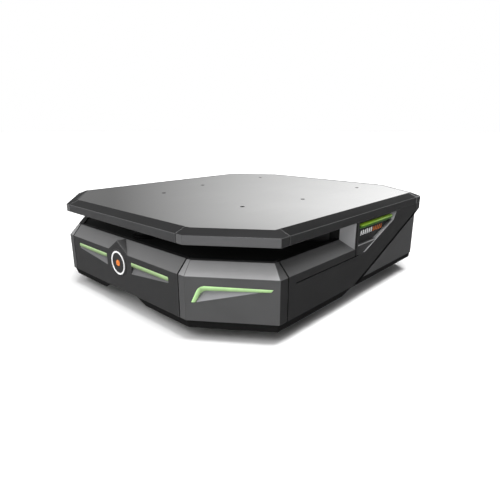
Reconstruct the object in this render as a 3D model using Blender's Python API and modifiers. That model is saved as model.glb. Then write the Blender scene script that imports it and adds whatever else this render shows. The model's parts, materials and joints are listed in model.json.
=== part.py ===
"""A low mecanum-wheel robot platform with an eight-sided load deck.

Sizes are in metres. The front faces -Y, the robot's left is +X and up is +Z.
The origin is on the floor, below the centre of the deck.
"""

import math

import bmesh
import bpy
from mathutils import Matrix, Vector

OBJECT_NAME = "mecanum_robot"

# Plan of the deck plate: a rectangle with its corners cut off. Every outline below is this one,
# moved outwards by an offset.
DECK_HALF_X = 0.400
DECK_HALF_Y = 0.4445
CORNER_CUT_X = 0.1465
CORNER_CUT_Y = 0.1029

# Heights of the casing, from the top down.
DECK_TOP = 0.2500
RIM_BREAK = 0.2403
RIM_BOTTOM = 0.2199
SLOPE_TOP = 0.1800
BELT = 0.1508
GROOVE_HEIGHT = 0.1310
REAR_BAND_BOTTOM = 0.2020
REAR_BODY_TOP = 0.1880
REAR_PANEL_BOTTOM = 0.0600
PANEL_BOTTOM = 0.0493
REAR_SKIRT_BOTTOM = 0.0445
SKIRT_BOTTOM = 0.0288
NOTCH_TOP = 0.0470

# Offsets of the casing from the deck's outline.
BODY_OFFSET = 0.0303
SLOPE_OFFSET = 0.0041
SKIRT_OFFSET = 0.0211
REAR_INSET = 0.0250

SHEET = 0.003
GAP = 0.0003
SEAM = 0.0006

# Seams between the casing panels.
FRONT_SEAM_X = 0.242
SIDE_SEAM_Y = -0.330
SLOT_END_Y = -0.054
SLOT_END_DEPTH = 0.035
REAR_SEAM_Y = 0.326
GROOVE_START_Y = -0.087
GROOVE_SLOPE = (0.192 - SKIRT_BOTTOM) / (REAR_SEAM_Y - GROOVE_START_Y)
GROOVE_WIDTH = 0.004
POCKET_DEPTH = 0.013

# Wheels.
WHEEL_RADIUS = 0.076
WHEEL_X = 0.318
WHEEL_Y = 0.255
ROLLERS = 8
ROLLER_CIRCLE = 0.061
ROLLER_HALF = 0.036
ROLLER_SIDES = 12
ROLLER_TILT = math.radians(45)
HUB_HALF = 0.0375
HUB_PLATE = 0.004
HUB_PLATE_RADIUS = 0.074
HUB_BARREL_RADIUS = 0.042
ROLLER_PIN_RADIUS = 0.0032
ROLLER_BORE_RADIUS = 0.0038
SHAFT_RADIUS = 0.008
SHAFT_BORE_RADIUS = 0.0085

# Deck plate and the posts under its six screw holes.
DECK_THICK = 0.0063
DECK_HOLES = ((0.173, -0.200), (0.221, 0.005), (0.222, 0.323))
DECK_HOLE_RADIUS = 0.0055
POST_HALF = 0.014
POST_TOP = DECK_TOP - DECK_THICK - GAP
POST_THREAD_RADIUS = 0.0042
POST_THREAD_DEPTH = 0.020

# Chassis floor: a long plate with wings between the wheels and a narrow nose between the front motors.
FLOOR_BOTTOM = 0.044
FLOOR_TOP = 0.048
FLOOR_HALF_X = 0.262
FLOOR_FRONT_Y = -0.215
FLOOR_REAR_Y = 0.400
WING_HALF_X = 0.412
WING_HALF_Y = 0.170
NOSE_HALF_X = 0.110
NOSE_FRONT_Y = -0.400
SILL_INNER_X = 0.396
SILL_TOP = 0.110

# Gearmotors, the plates that carry them, and the swing axle of the front pair.
PLATE_X = 0.253
PLATE_THICK = 0.006
PLATE_HALF_Y = 0.036
MOTOR_PLATE_TOP = 0.125
MOTOR_RADIUS = 0.027
MOTOR_NOSE_RADIUS = 0.018
MOTOR_NOSE_X = WHEEL_X - HUB_HALF - 0.0105
MOTOR_INNER_X = 0.120
SHAFT_START_X = PLATE_X - 0.007
SHAFT_BORE_START_X = SHAFT_START_X - 0.003
AXLE_PIVOT_HEIGHT = 0.124
AXLE_BOTTOM = 0.108
AXLE_TOP = 0.140
AXLE_PLATE_BOTTOM = 0.050
AXLE_HALF_WIDTH = 0.018
PIN_RADIUS = 0.0096
PIN_HALF = 0.036
BRACKET_HALF_X = 0.026
BRACKET_HALF_THICK = 0.003
BRACKET_SPACING = 0.025
BRACKET_TOP = 0.142

# Units on the chassis floor.
BATTERY_HALF_X = 0.150
BATTERY_Y = (-0.150, 0.110)
BATTERY_TOP = 0.148
CONTROL_HALF_X = 0.105
CONTROL_Y = (0.150, 0.380)
CONTROL_TOP = 0.135

# Buttons on the rear panel.
STOP_X = 0.150
STOP_HEIGHT = 0.150
BUTTON_HOLE_RADIUS = 0.0085
BUTTON_STEM_RADIUS = 0.008

# Scanner bay.
BAY_FLOOR = 0.1725
BAY_OFFSET = -0.001
BAY_NOSE_X = 0.060
BAY_NOSE_Y = -0.330
BAY_END_Y = -0.092
BAY_WALL = 0.004
SCANNER_Y = -0.385
SCANNER_HEIGHT = 0.041
SCANNER_RADIUS = 0.030
SCANNER_FOOT_RADIUS = 0.036


def clear_scene():
    for old in list(bpy.data.objects):
        bpy.data.objects.remove(old, do_unlink=True)
    for name in (OBJECT_NAME, "cutters"):
        old = bpy.data.collections.get(name)
        if old:
            bpy.data.collections.remove(old)


def collection(name):
    made = bpy.data.collections.new(name)
    bpy.context.scene.collection.children.link(made)
    return made


def material(name, colour, roughness, metallic=0.0):
    made = bpy.data.materials.new(name)
    made.use_nodes = True
    shader = made.node_tree.nodes["Principled BSDF"]
    shader.inputs["Base Color"].default_value = (*colour, 1)
    shader.inputs["Roughness"].default_value = roughness
    shader.inputs["Metallic"].default_value = metallic
    return made


clear_scene()
PARTS = collection(OBJECT_NAME)
CUTTERS = collection("cutters")

SILVER = material("satin_aluminium", (0.62, 0.62, 0.62), 0.35, 0.9)
DARK = material("dark_casing", (0.07, 0.07, 0.075), 0.45)
GREY = material("grey_casing", (0.12, 0.12, 0.125), 0.45)
BLACK = material("black_plastic", (0.012, 0.012, 0.012), 0.6)
STEEL = material("bare_steel", (0.45, 0.45, 0.46), 0.35, 1.0)
RUBBER = material("roller_rubber", (0.02, 0.02, 0.02), 0.8)
MOTOR_BLACK = material("motor_black", (0.03, 0.03, 0.03), 0.4, 0.6)
BLUE = material("battery_case", (0.03, 0.06, 0.12), 0.5)
RED = material("stop_red", (0.6, 0.02, 0.02), 0.35)


# ---------------------------------------------------------------- helpers


def place(name, mesh, look, group=None):
    """A new object from a mesh. With no look it is a cutter, which the build leaves out."""
    made = bpy.data.objects.new(name, mesh)
    (group or (PARTS if look else CUTTERS)).objects.link(made)
    if look:
        mesh.materials.append(look)
    else:
        made.hide_render = True
        made.display_type = "WIRE"
    return made


def mesh_from(name, work):
    bmesh.ops.recalc_face_normals(work, faces=work.faces)
    mesh = bpy.data.meshes.new(name)
    work.to_mesh(mesh)
    work.free()
    return mesh


def box(name, corner, opposite, look=None):
    size = Vector([abs(b - a) for a, b in zip(corner, opposite)])
    middle = (Vector(corner) + Vector(opposite)) / 2
    work = bmesh.new()
    bmesh.ops.create_cube(work, size=1, matrix=Matrix.LocRotScale(middle, None, size))
    return place(name, mesh_from(name, work), look)


def rod(name, start, end, radius, sides=24, look=None):
    """A cylinder from one point to another."""
    start, end = Vector(start), Vector(end)
    along = end - start
    turn = along.to_track_quat("Z", "Y")
    work = bmesh.new()
    bmesh.ops.create_cone(
        work, cap_ends=True, segments=sides, radius1=radius, radius2=radius,
        depth=along.length, matrix=Matrix.LocRotScale((start + end) / 2, turn, None),
    )
    made = place(name, mesh_from(name, work), look)
    smooth(made)
    return made


def smooth(made):
    made.data.shade_smooth()
    made.data.set_sharp_from_angle(angle=math.radians(35))


def circle(centre, radius, sides=16):
    steps = [2 * math.pi * i / sides for i in range(sides)]
    return [(centre[0] + radius * math.cos(a), centre[1] + radius * math.sin(a)) for a in steps]


PLANES = {
    "XY": Matrix(((1, 0, 0, 0), (0, 1, 0, 0), (0, 0, 1, 0), (0, 0, 0, 1))),
    "YZ": Matrix(((0, 0, 1, 0), (1, 0, 0, 0), (0, 1, 0, 0), (0, 0, 0, 1))),
    "XZ": Matrix(((1, 0, 0, 0), (0, 0, -1, 0), (0, 1, 0, 0), (0, 0, 0, 1))),
}


def prism(name, outlines, plane, low, high, look=None):
    """A flat outline, with holes if there are more, filled between two depths on the plane's normal."""
    curve = bpy.data.curves.new(name, "CURVE")
    curve.dimensions = "2D"
    curve.fill_mode = "BOTH"
    curve.extrude = abs(high - low) / 2
    for outline in outlines:
        spline = curve.splines.new("POLY")
        spline.points.add(len(outline) - 1)
        for point, (u, v) in zip(spline.points, outline):
            point.co = (u, v, 0, 1)
        spline.use_cyclic_u = True
    guide = bpy.data.objects.new(name, curve)
    CUTTERS.objects.link(guide)
    depth = (low + high) / 2 * (-1 if plane == "XZ" else 1)
    guide.matrix_world = PLANES[plane] @ Matrix.Translation((0, 0, depth))
    bpy.context.view_layer.update()
    filled = guide.evaluated_get(bpy.context.evaluated_depsgraph_get())
    mesh = bpy.data.meshes.new_from_object(filled)
    mesh.transform(guide.matrix_world)
    bpy.data.objects.remove(guide)
    work = bmesh.new()
    work.from_mesh(mesh)
    bmesh.ops.remove_doubles(work, verts=work.verts, dist=1e-6)
    mesh.materials.clear()
    return place(name, mesh_from(name, work), look)


def turned(name, profile, location, turn, sides, look=None):
    """A profile in the XZ plane, swept round Z. It runs down its outer side, top to bottom."""
    work = bmesh.new()
    points = [work.verts.new((radius, 0, height)) for radius, height in profile]
    for first, second in zip(points, points[1:]):
        work.edges.new((first, second))
    if profile[0][0] > 0:
        work.edges.new((points[-1], points[0]))
    mesh = bpy.data.meshes.new(name)
    work.to_mesh(mesh)
    work.free()
    made = place(name, mesh, look)
    made.location = location
    made.rotation_mode = "QUATERNION"
    made.rotation_quaternion = turn
    screw = made.modifiers.new("turn", "SCREW")
    screw.steps = sides
    screw.render_steps = sides
    screw.use_merge_vertices = True
    screw.merge_threshold = 1e-5
    screw.use_smooth_shade = True
    return made


def sweep(name, section, stations, look=None, closed=False):
    """A section of (offset, height) points carried along mitred stations.

    Each station turns an offset and a height into a plan position.
    """
    work = bmesh.new()
    rings = []
    for station in stations:
        rings.append([work.verts.new((*station(o, z), z)) for o, z in section])
    count = len(section)
    pairs = list(zip(rings, rings[1:]))
    if closed:
        pairs.append((rings[-1], rings[0]))
    for first, second in pairs:
        for i in range(count):
            j = (i + 1) % count
            work.faces.new((first[i], first[j], second[j], second[i]))
    if not closed:
        work.faces.new(rings[0])
        work.faces.new(rings[-1])
    bmesh.ops.triangulate(work, faces=[f for f in work.faces if len(f.verts) > 4])
    return place(name, mesh_from(name, work), look)


def combine(made, others, operation):
    for other in others:
        step = made.modifiers.new(other.name, "BOOLEAN")
        step.operation = operation
        step.solver = "EXACT"
        step.object = other
    return made


# ---------------------------------------------------------------- plan outlines

CUT_LENGTH = math.hypot(CORNER_CUT_X, CORNER_CUT_Y)
CORNER_NX = CORNER_CUT_Y / CUT_LENGTH
CORNER_NY = CORNER_CUT_X / CUT_LENGTH
CORNER_REACH = CORNER_NX * (DECK_HALF_X - CORNER_CUT_X) + CORNER_NY * DECK_HALF_Y


def front_turn(offset, inset=0.0):
    """Where the cut corner meets the front or rear face, as positive x and y."""
    y = DECK_HALF_Y + offset - inset
    return (CORNER_REACH + offset - inset - CORNER_NY * y) / CORNER_NX, y


def side_turn(offset, inset=0.0):
    """Where the cut corner meets the side face, as positive x and y."""
    x = DECK_HALF_X + offset
    return x, (CORNER_REACH + offset - inset - CORNER_NX * x) / CORNER_NY


def at_turn(turn, side, end, inset=0.0):
    def station(offset, height):
        x, y = turn(offset, inset)
        return side * x, end * y
    return station


def on_front(x, side=1):
    return lambda offset, height: (side * x, -(DECK_HALF_Y + offset))


def on_side(y, side=1):
    return lambda offset, height: (side * (DECK_HALF_X + offset), y)


def ring_stations(inset=0.0):
    """The eight corners, all round, with the rear three faces moved in by the inset."""
    stations = []
    for side, end, turns in (
        (-1, -1, (side_turn, front_turn)),
        (1, -1, (front_turn, side_turn)),
        (1, 1, (side_turn, front_turn)),
        (-1, 1, (front_turn, side_turn)),
    ):
        for turn in turns:
            stations.append(at_turn(turn, side, end, inset if end > 0 else 0.0))
    return stations


def outline(offset):
    return [station(offset, 0) for station in ring_stations()]


# ---------------------------------------------------------------- deck


def deck_holes():
    return [(side * x, y) for x, y in DECK_HOLES for side in (1, -1)]


def make_deck_plate():
    holes = [circle(centre, DECK_HOLE_RADIUS) for centre in deck_holes()]
    prism("deck_plate", [outline(0), *holes], "XY", DECK_TOP - DECK_THICK, DECK_TOP, SILVER)


def make_deck_rim():
    ledge_top = DECK_TOP - DECK_THICK - GAP
    ledge_bottom = ledge_top - SHEET
    inner = BODY_OFFSET - SHEET
    section = (
        (BODY_OFFSET, RIM_BOTTOM), (BODY_OFFSET, RIM_BREAK), (0.0015, DECK_TOP - 0.0005),
        (0.0015, ledge_top), (-0.018, ledge_top), (-0.018, ledge_bottom),
        (0.0201, ledge_bottom), (inner, RIM_BREAK - 0.0022), (inner, RIM_BOTTOM),
    )
    sweep("deck_rim", section, ring_stations(), DARK, closed=True)


# ---------------------------------------------------------------- casing


def body_section():
    """Outer and inner side of a casing panel with its sloped shoulder and inward flange."""
    inner = BODY_OFFSET - SHEET
    return (
        (BODY_OFFSET, PANEL_BOTTOM), (BODY_OFFSET, BELT), (SLOPE_OFFSET, SLOPE_TOP),
        (-0.008, SLOPE_TOP), (-0.008, SLOPE_TOP - SHEET), (0.0028, SLOPE_TOP - SHEET),
        (inner, BELT - 0.0012), (inner, PANEL_BOTTOM),
    )


def make_front_panel():
    reach = FRONT_SEAM_X - SEAM
    panel = sweep("front_panel", body_section(), [on_front(-reach), on_front(reach)], DARK)
    face = -(DECK_HALF_Y + BODY_OFFSET)
    gable = prism(
        "badge_gable", [[(-0.045, BELT - 0.002), (0.045, BELT - 0.002), (0.045, BELT), (0, SLOPE_TOP),
                         (-0.045, BELT)]],
        "XZ", face, -(DECK_HALF_Y + SLOPE_OFFSET) + 0.001,
    )
    combine(panel, [gable], "UNION")


def make_corner_panel(side, word):
    stations = [
        on_front(FRONT_SEAM_X + SEAM, side), at_turn(front_turn, side, -1),
        at_turn(side_turn, side, -1), on_side(SIDE_SEAM_Y - SEAM, side),
    ]
    sweep(f"corner_panel_{word}", body_section(), stations, GREY)


def groove_height(y):
    """Height of the slanted groove on the side, which rises towards the rear."""
    return SKIRT_BOTTOM + (y - GROOVE_START_Y) * GROOVE_SLOPE


def groove_y(height):
    return GROOVE_START_Y + (height - SKIRT_BOTTOM) / GROOVE_SLOPE


def side_slab(name, shape, side, depth=SHEET, sink=0.0001, look=None):
    """A flat outline in y and z, standing in the side face and reaching inwards by its depth."""
    outer = DECK_HALF_X + BODY_OFFSET - sink
    low, high = sorted((side * outer, side * (outer - depth)))
    return prism(name, [shape], "YZ", low, high, look)


def make_side_panel(side, word):
    name = f"side_panel_{word}"
    stations = [on_side(SIDE_SEAM_Y + SEAM, side), on_side(SLOT_END_Y + 0.002, side)]
    panel = sweep(name, body_section(), stations, DARK)
    top = RIM_BOTTOM - GAP
    lift = GROOVE_WIDTH / 2
    rear = REAR_SEAM_Y
    start = SLOT_END_Y + 0.0005
    tall = side_slab(
        f"{name}_tall", [
            (start, top), (rear, top), (rear, groove_height(rear) + lift),
            (groove_y(PANEL_BOTTOM - lift), PANEL_BOTTOM + 0.0001), (start, PANEL_BOTTOM + 0.0001),
        ], side,
    )
    outer = DECK_HALF_X + BODY_OFFSET - 0.0002
    inner = DECK_HALF_X + SLOPE_OFFSET
    cheek = prism(
        f"{name}_cheek", [[
            (side * outer, SLOT_END_Y), (side * inner, SLOT_END_Y - SLOT_END_DEPTH),
            (side * inner, SLOT_END_Y - SLOT_END_DEPTH + 0.004),
            (side * (outer - SHEET), SLOT_END_Y + 0.003), (side * outer, SLOT_END_Y + 0.003),
        ]], "XY", BELT - 0.003, top - 0.0002,
    )
    tray = side_slab(f"{name}_tray", [
        (-0.041, 0.2190), (0.190, 0.2190), (0.173, 0.1900), (0.008, 0.1265), (-0.041, 0.1265)],
        side, POCKET_DEPTH + 0.002, 0.0003)
    pocket = side_slab(f"{name}_pocket", [
        (-0.036, 0.2170), (0.182, 0.2170), (0.168, 0.1940), (0.002, 0.1310), (-0.036, 0.1310)],
        side, POCKET_DEPTH, -0.001)
    line = box(
        f"{name}_groove", (side * (outer - 0.001), -0.303, GROOVE_HEIGHT - 0.0008),
        (side * (outer + 0.001), -0.030, GROOVE_HEIGHT + 0.0008),
    )
    combine(panel, [tall, cheek, tray], "UNION")
    combine(panel, [pocket, line], "DIFFERENCE")


def make_rear_quarter(side, word):
    drop = GROOVE_WIDTH / 2
    rear = REAR_SEAM_Y - SEAM
    low_y = groove_y(REAR_PANEL_BOTTOM + drop)
    side_slab(
        f"rear_quarter_{word}",
        [(low_y, REAR_PANEL_BOTTOM), (rear, REAR_PANEL_BOTTOM), (rear, groove_height(rear) - drop)],
        side, look=GREY,
    )


def make_rear_panel():
    inner = BODY_OFFSET - SHEET
    body = BODY_OFFSET - REAR_INSET
    section = (
        (BODY_OFFSET, RIM_BOTTOM - GAP), (BODY_OFFSET, REAR_BAND_BOTTOM), (body, REAR_BODY_TOP),
        (body, REAR_PANEL_BOTTOM), (body - SHEET, REAR_PANEL_BOTTOM),
        (body - SHEET, REAR_BODY_TOP - 0.0015), (inner, REAR_BAND_BOTTOM - 0.0015 + 0.003),
        (inner, RIM_BOTTOM - GAP),
    )
    edge = DECK_HALF_X + BODY_OFFSET

    def at_side(side):
        def station(offset, height):
            x = edge - (0.0005 if offset > body else SHEET + GAP)
            return side * x, (CORNER_REACH + offset - CORNER_NX * x) / CORNER_NY
        return station

    stations = [
        at_side(1), at_turn(front_turn, 1, 1), at_turn(front_turn, -1, 1), at_side(-1),
    ]
    panel = sweep("rear_panel", section, stations, DARK)
    ears = [
        side_slab(
            f"rear_panel_ear_{word}", [
                (REAR_SEAM_Y + SEAM, RIM_BOTTOM - GAP), (side_turn(BODY_OFFSET)[1], RIM_BOTTOM - GAP),
                (side_turn(BODY_OFFSET)[1], REAR_BAND_BOTTOM),
                (REAR_SEAM_Y + SEAM, REAR_BODY_TOP),
            ], side,
        ) for side, word in ((1, "left"), (-1, "right"))
    ]
    rear = DECK_HALF_Y + body
    holes = [
        rod(name, (x, rear - 0.01, STOP_HEIGHT), (x, rear + 0.01, STOP_HEIGHT), BUTTON_HOLE_RADIUS)
        for name, x in (("stop_hole", STOP_X), ("power_hole", -STOP_X))
    ]
    combine(panel, ears, "UNION")
    combine(panel, holes, "DIFFERENCE")


def make_rear_button(name, x, cap_radius, cap_length, travel, look):
    """A push button whose stem runs in through the rear panel."""
    rear = DECK_HALF_Y + BODY_OFFSET - REAR_INSET
    under = rear + travel + 0.001
    button = rod(name, (x, under, STOP_HEIGHT), (x, under + cap_length, STOP_HEIGHT), cap_radius, 24, look)
    stem = rod(
        f"{name}_stem", (x, rear - 0.018, STOP_HEIGHT), (x, under + 0.002, STOP_HEIGHT),
        BUTTON_STEM_RADIUS, 16)
    combine(button, [stem], "UNION")


def make_skirt():
    """The dark skirt below the panels: shallow all round, deep at the front, with a notch."""
    outer = BODY_OFFSET - SHEET - GAP
    top = PANEL_BOTTOM + 0.016
    shallow = (
        (outer, top), (outer, REAR_PANEL_BOTTOM - 0.003), (outer - 0.0035, REAR_SKIRT_BOTTOM),
        (outer - 0.0095, REAR_SKIRT_BOTTOM), (outer - 0.0095, top),
    )
    skirt = sweep("skirt", shallow, ring_stations(REAR_INSET), BLACK, closed=True)
    deep_section = (
        (outer - 0.0002, PANEL_BOTTOM + 0.010), (outer - 0.0002, PANEL_BOTTOM - 0.0005),
        (SKIRT_OFFSET, SKIRT_BOTTOM), (SKIRT_OFFSET - 0.0035, SKIRT_BOTTOM),
        (SKIRT_OFFSET - 0.0035, PANEL_BOTTOM + 0.010),
    )

    def slanted_end(side):
        return lambda offset, height: (side * (DECK_HALF_X + offset), groove_y(height))

    stations = [slanted_end(-1)]
    stations += [at_turn(side_turn, -1, -1), at_turn(front_turn, -1, -1)]
    stations += [at_turn(front_turn, 1, -1), at_turn(side_turn, 1, -1)]
    stations.append(slanted_end(1))
    deep = sweep("skirt_deep", deep_section, stations)
    notch = prism(
        "skirt_notch", [[(-0.065, NOTCH_TOP), (0.065, NOTCH_TOP),
                         (0.097, SKIRT_BOTTOM - 0.001), (-0.097, SKIRT_BOTTOM - 0.001)]],
        "XZ", -0.500, -0.430,
    )
    combine(skirt, [deep], "UNION")
    combine(skirt, [notch], "DIFFERENCE")


# ---------------------------------------------------------------- chassis


def make_base_frame():
    """Floor plate, deck posts, motor plates and pivot brackets, welded into one frame."""
    frame = box(
        "base_frame", (-FLOOR_HALF_X, FLOOR_FRONT_Y, FLOOR_BOTTOM), (FLOOR_HALF_X, FLOOR_REAR_Y, FLOOR_TOP),
        STEEL)
    low = FLOOR_BOTTOM + 0.0001
    high = FLOOR_TOP - 0.0001
    base = FLOOR_TOP - 0.001
    welded = [
        box("floor_wings", (-WING_HALF_X, -WING_HALF_Y, low), (WING_HALF_X, WING_HALF_Y, high)),
        box("floor_nose", (-NOSE_HALF_X, NOSE_FRONT_Y, low), (NOSE_HALF_X, FLOOR_FRONT_Y + 0.002, high)),
    ]
    bores = []
    for i, (x, y) in enumerate(deck_holes()):
        welded.append(box(
            f"post_{i}", (x - POST_HALF, y - POST_HALF, base), (x + POST_HALF, y + POST_HALF, POST_TOP)))
        bores.append(rod(
            f"post_hole_{i}", (x, y, POST_TOP - POST_THREAD_DEPTH), (x, y, POST_TOP + 0.001),
            POST_THREAD_RADIUS, 12))
    for i, y in enumerate((-WHEEL_Y - BRACKET_SPACING, -WHEEL_Y + BRACKET_SPACING)):
        welded.append(box(
            f"pivot_bracket_{i}", (-BRACKET_HALF_X, y - BRACKET_HALF_THICK, base),
            (BRACKET_HALF_X, y + BRACKET_HALF_THICK, BRACKET_TOP)))
    bores.append(rod(
        "pivot_bore", (0, -WHEEL_Y - 0.04, AXLE_PIVOT_HEIGHT), (0, -WHEEL_Y + 0.04, AXLE_PIVOT_HEIGHT),
        PIN_RADIUS + 0.0004))
    for side, word in ((1, "left"), (-1, "right")):
        welded.append(box(
            f"motor_plate_{word}", (side * PLATE_X, WHEEL_Y - PLATE_HALF_Y, base - 0.002),
            (side * (PLATE_X + PLATE_THICK), WHEEL_Y + PLATE_HALF_Y, MOTOR_PLATE_TOP)))
        welded.append(box(
            f"sill_{word}", (side * SILL_INNER_X, -WING_HALF_Y + 0.002, base),
            (side * (WING_HALF_X - 0.001), WING_HALF_Y - 0.002, SILL_TOP)))
        bores.append(motor_bore(f"motor_bore_{word}", side, WHEEL_Y))
    combine(frame, welded, "UNION")
    combine(frame, bores, "DIFFERENCE")


def motor_bore(name, side, y):
    """Cutter for the hole in a motor plate that the gearmotor's nose passes."""
    return rod(
        name, (side * (PLATE_X - 0.01), y, WHEEL_RADIUS), (side * (PLATE_X + 0.02), y, WHEEL_RADIUS),
        MOTOR_NOSE_RADIUS + 0.0004)


def make_front_axle():
    reach = PLATE_X + PLATE_THICK
    beam = box(
        "front_axle", (-reach, -WHEEL_Y - AXLE_HALF_WIDTH, AXLE_BOTTOM),
        (reach, -WHEEL_Y + AXLE_HALF_WIDTH, AXLE_TOP), STEEL)
    cheeks = []
    bores = [rod(
        "axle_bore", (0, -WHEEL_Y - 0.03, AXLE_PIVOT_HEIGHT), (0, -WHEEL_Y + 0.03, AXLE_PIVOT_HEIGHT),
        PIN_RADIUS + 0.0006)]
    for side, word in ((1, "left"), (-1, "right")):
        cheeks.append(box(
            f"axle_plate_{word}", (side * PLATE_X, -WHEEL_Y - PLATE_HALF_Y, AXLE_PLATE_BOTTOM),
            (side * (reach - 0.0001), -WHEEL_Y + PLATE_HALF_Y, AXLE_TOP - 0.0005)))
        bores.append(motor_bore(f"axle_motor_bore_{word}", side, -WHEEL_Y))
    combine(beam, cheeks, "UNION")
    combine(beam, bores, "DIFFERENCE")


def make_axle_pin():
    rod(
        "axle_pin", (0, -WHEEL_Y - PIN_HALF, AXLE_PIVOT_HEIGHT), (0, -WHEEL_Y + PIN_HALF, AXLE_PIVOT_HEIGHT),
        PIN_RADIUS, 24, STEEL)


def make_gearmotor(side, end, word):
    y = end * WHEEL_Y
    front = PLATE_X - GAP

    def across(x):
        return side * x, y, WHEEL_RADIUS

    motor = rod(f"gearmotor_{word}", across(MOTOR_INNER_X), across(front), MOTOR_RADIUS, 24, MOTOR_BLACK)
    nose = rod(f"motor_nose_{word}", across(front - 0.002), across(MOTOR_NOSE_X), MOTOR_NOSE_RADIUS, 24)
    bore = rod(
        f"shaft_bore_{word}", across(SHAFT_BORE_START_X), across(MOTOR_NOSE_X + 0.001), SHAFT_BORE_RADIUS, 24)
    combine(motor, [nose], "UNION")
    combine(motor, [bore], "DIFFERENCE")


def make_inner_units():
    for name, half, (front, rear), top, look in (
        ("battery_pack", BATTERY_HALF_X, BATTERY_Y, BATTERY_TOP, BLUE),
        ("control_unit", CONTROL_HALF_X, CONTROL_Y, CONTROL_TOP, GREY),
    ):
        box(name, (-half, front, FLOOR_TOP + GAP), (half, rear, top), look)


def make_scan_bay():
    """The floor and the V-shaped rear wall of the slot that the scanner looks out of."""
    edge = DECK_HALF_X + BAY_OFFSET
    corners = [station(BAY_OFFSET, 0) for station in ring_stations()[:4]]
    floor = prism("scan_bay", [[
        (-edge, BAY_END_Y + BAY_WALL), *corners, (edge, BAY_END_Y + BAY_WALL),
        (BAY_NOSE_X, BAY_NOSE_Y + BAY_WALL), (-BAY_NOSE_X, BAY_NOSE_Y + BAY_WALL),
    ]], "XY", BAY_FLOOR, BAY_FLOOR + SHEET, BLACK)
    tip = edge - 0.0075
    tip_y = BAY_NOSE_Y + (BAY_END_Y - BAY_NOSE_Y) * (tip - BAY_NOSE_X) / (edge - BAY_NOSE_X)
    front = [(tip, tip_y), (BAY_NOSE_X, BAY_NOSE_Y), (-BAY_NOSE_X, BAY_NOSE_Y), (-tip, tip_y)]
    back = [(x, y + BAY_WALL) for x, y in reversed(front)]
    screen = prism("scan_bay_wall", [front + back], "XY", BAY_FLOOR + 0.001, RIM_BOTTOM - 0.001)
    combine(floor, [screen], "UNION")


def make_scanner():
    base = BAY_FLOOR + SHEET + GAP
    top = base + SCANNER_HEIGHT
    turned(
        "laser_scanner",
        [(0, top), (SCANNER_RADIUS - 0.003, top), (SCANNER_RADIUS, top - 0.003),
         (SCANNER_RADIUS, base + 0.010), (SCANNER_FOOT_RADIUS, base + 0.007), (SCANNER_FOOT_RADIUS, base),
         (0, base)],
        (0, SCANNER_Y, 0), (1, 0, 0, 0), 28, BLACK,
    )


# ---------------------------------------------------------------- wheels


def roller_profile():
    """Half of the barrel that makes the wheel's rolling surface round, and its bore."""
    spread = 1 / math.cos(math.pi / ROLLER_SIDES)
    outer = []
    for step in range(5):
        along = ROLLER_HALF * (1 - step / 2)
        reach = math.hypot(ROLLER_CIRCLE, along * math.sin(ROLLER_TILT))
        outer.append(((WHEEL_RADIUS - reach) * spread, along))
    return outer + [(ROLLER_BORE_RADIUS * spread, -ROLLER_HALF), (ROLLER_BORE_RADIUS * spread, ROLLER_HALF)]


def roller_frame(side, end, index):
    """Centre and axis of one roller, in the robot's frame."""
    angle = -math.pi / 2 + 2 * math.pi * index / ROLLERS
    outward = Vector((0, math.cos(angle), math.sin(angle)))
    tangent = Vector((0, -math.sin(angle), math.cos(angle)))
    hand = -side * end
    axis = Vector((math.cos(ROLLER_TILT), 0, 0)) + tangent * hand * math.sin(ROLLER_TILT)
    centre = Vector((side * WHEEL_X, end * WHEEL_Y, WHEEL_RADIUS)) + outward * ROLLER_CIRCLE
    return centre, axis.normalized(), outward


def make_wheel(side, end, word):
    y = end * WHEEL_Y

    def across(x):
        return side * x, y, WHEEL_RADIUS

    hub = rod(
        f"wheel_hub_{word}", across(WHEEL_X - HUB_HALF), across(WHEEL_X + HUB_HALF),
        HUB_BARREL_RADIUS, 24, SILVER)
    inner = WHEEL_X - HUB_HALF
    outer = WHEEL_X + HUB_HALF
    joined = [
        rod(f"inner_plate_{word}", across(inner), across(inner + HUB_PLATE), HUB_PLATE_RADIUS, 32),
        rod(f"outer_plate_{word}", across(outer - HUB_PLATE), across(outer), HUB_PLATE_RADIUS, 32),
        rod(f"shaft_{word}", across(SHAFT_START_X), across(inner + 0.01), SHAFT_RADIUS, 16),
    ]
    reach = (HUB_HALF - HUB_PLATE / 2) / math.cos(ROLLER_TILT)
    for index in range(ROLLERS):
        centre, axis, outward = roller_frame(side, end, index)
        joined.append(rod(
            f"roller_pin_{word}_{index}", centre - axis * reach, centre + axis * reach,
            ROLLER_PIN_RADIUS, 8))
        facing = axis.to_track_quat("Z", "Y")
        flat = (facing.inverted() @ outward)
        spin = Matrix.Rotation(math.atan2(flat.y, flat.x) + math.pi / ROLLER_SIDES, 4, "Z").to_quaternion()
        turned(
            f"roller_{word}_{index}", roller_profile(), centre, facing @ spin, ROLLER_SIDES, RUBBER)
    combine(hub, joined, "UNION")


def make_all():
    make_deck_plate()
    make_deck_rim()
    make_front_panel()
    make_rear_panel()
    make_skirt()
    make_base_frame()
    make_front_axle()
    make_axle_pin()
    make_inner_units()
    make_scan_bay()
    make_scanner()
    make_rear_button("e_stop_button", STOP_X, 0.020, 0.012, 0.005, RED)
    make_rear_button("power_button", -STOP_X, 0.011, 0.006, 0.003, STEEL)
    for side, word in ((1, "left"), (-1, "right")):
        make_corner_panel(side, word)
        make_side_panel(side, word)
        make_rear_quarter(side, word)
        for end, place_word in ((-1, "front"), (1, "rear")):
            make_gearmotor(side, end, f"{place_word}_{word}")
            make_wheel(side, end, f"{place_word}_{word}")


make_all()
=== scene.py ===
"""The looks of the mecanum robot platform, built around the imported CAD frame. Sizes are in metres."""

import json
import math

import bmesh
import bpy
from mathutils import Matrix, Vector


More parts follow.
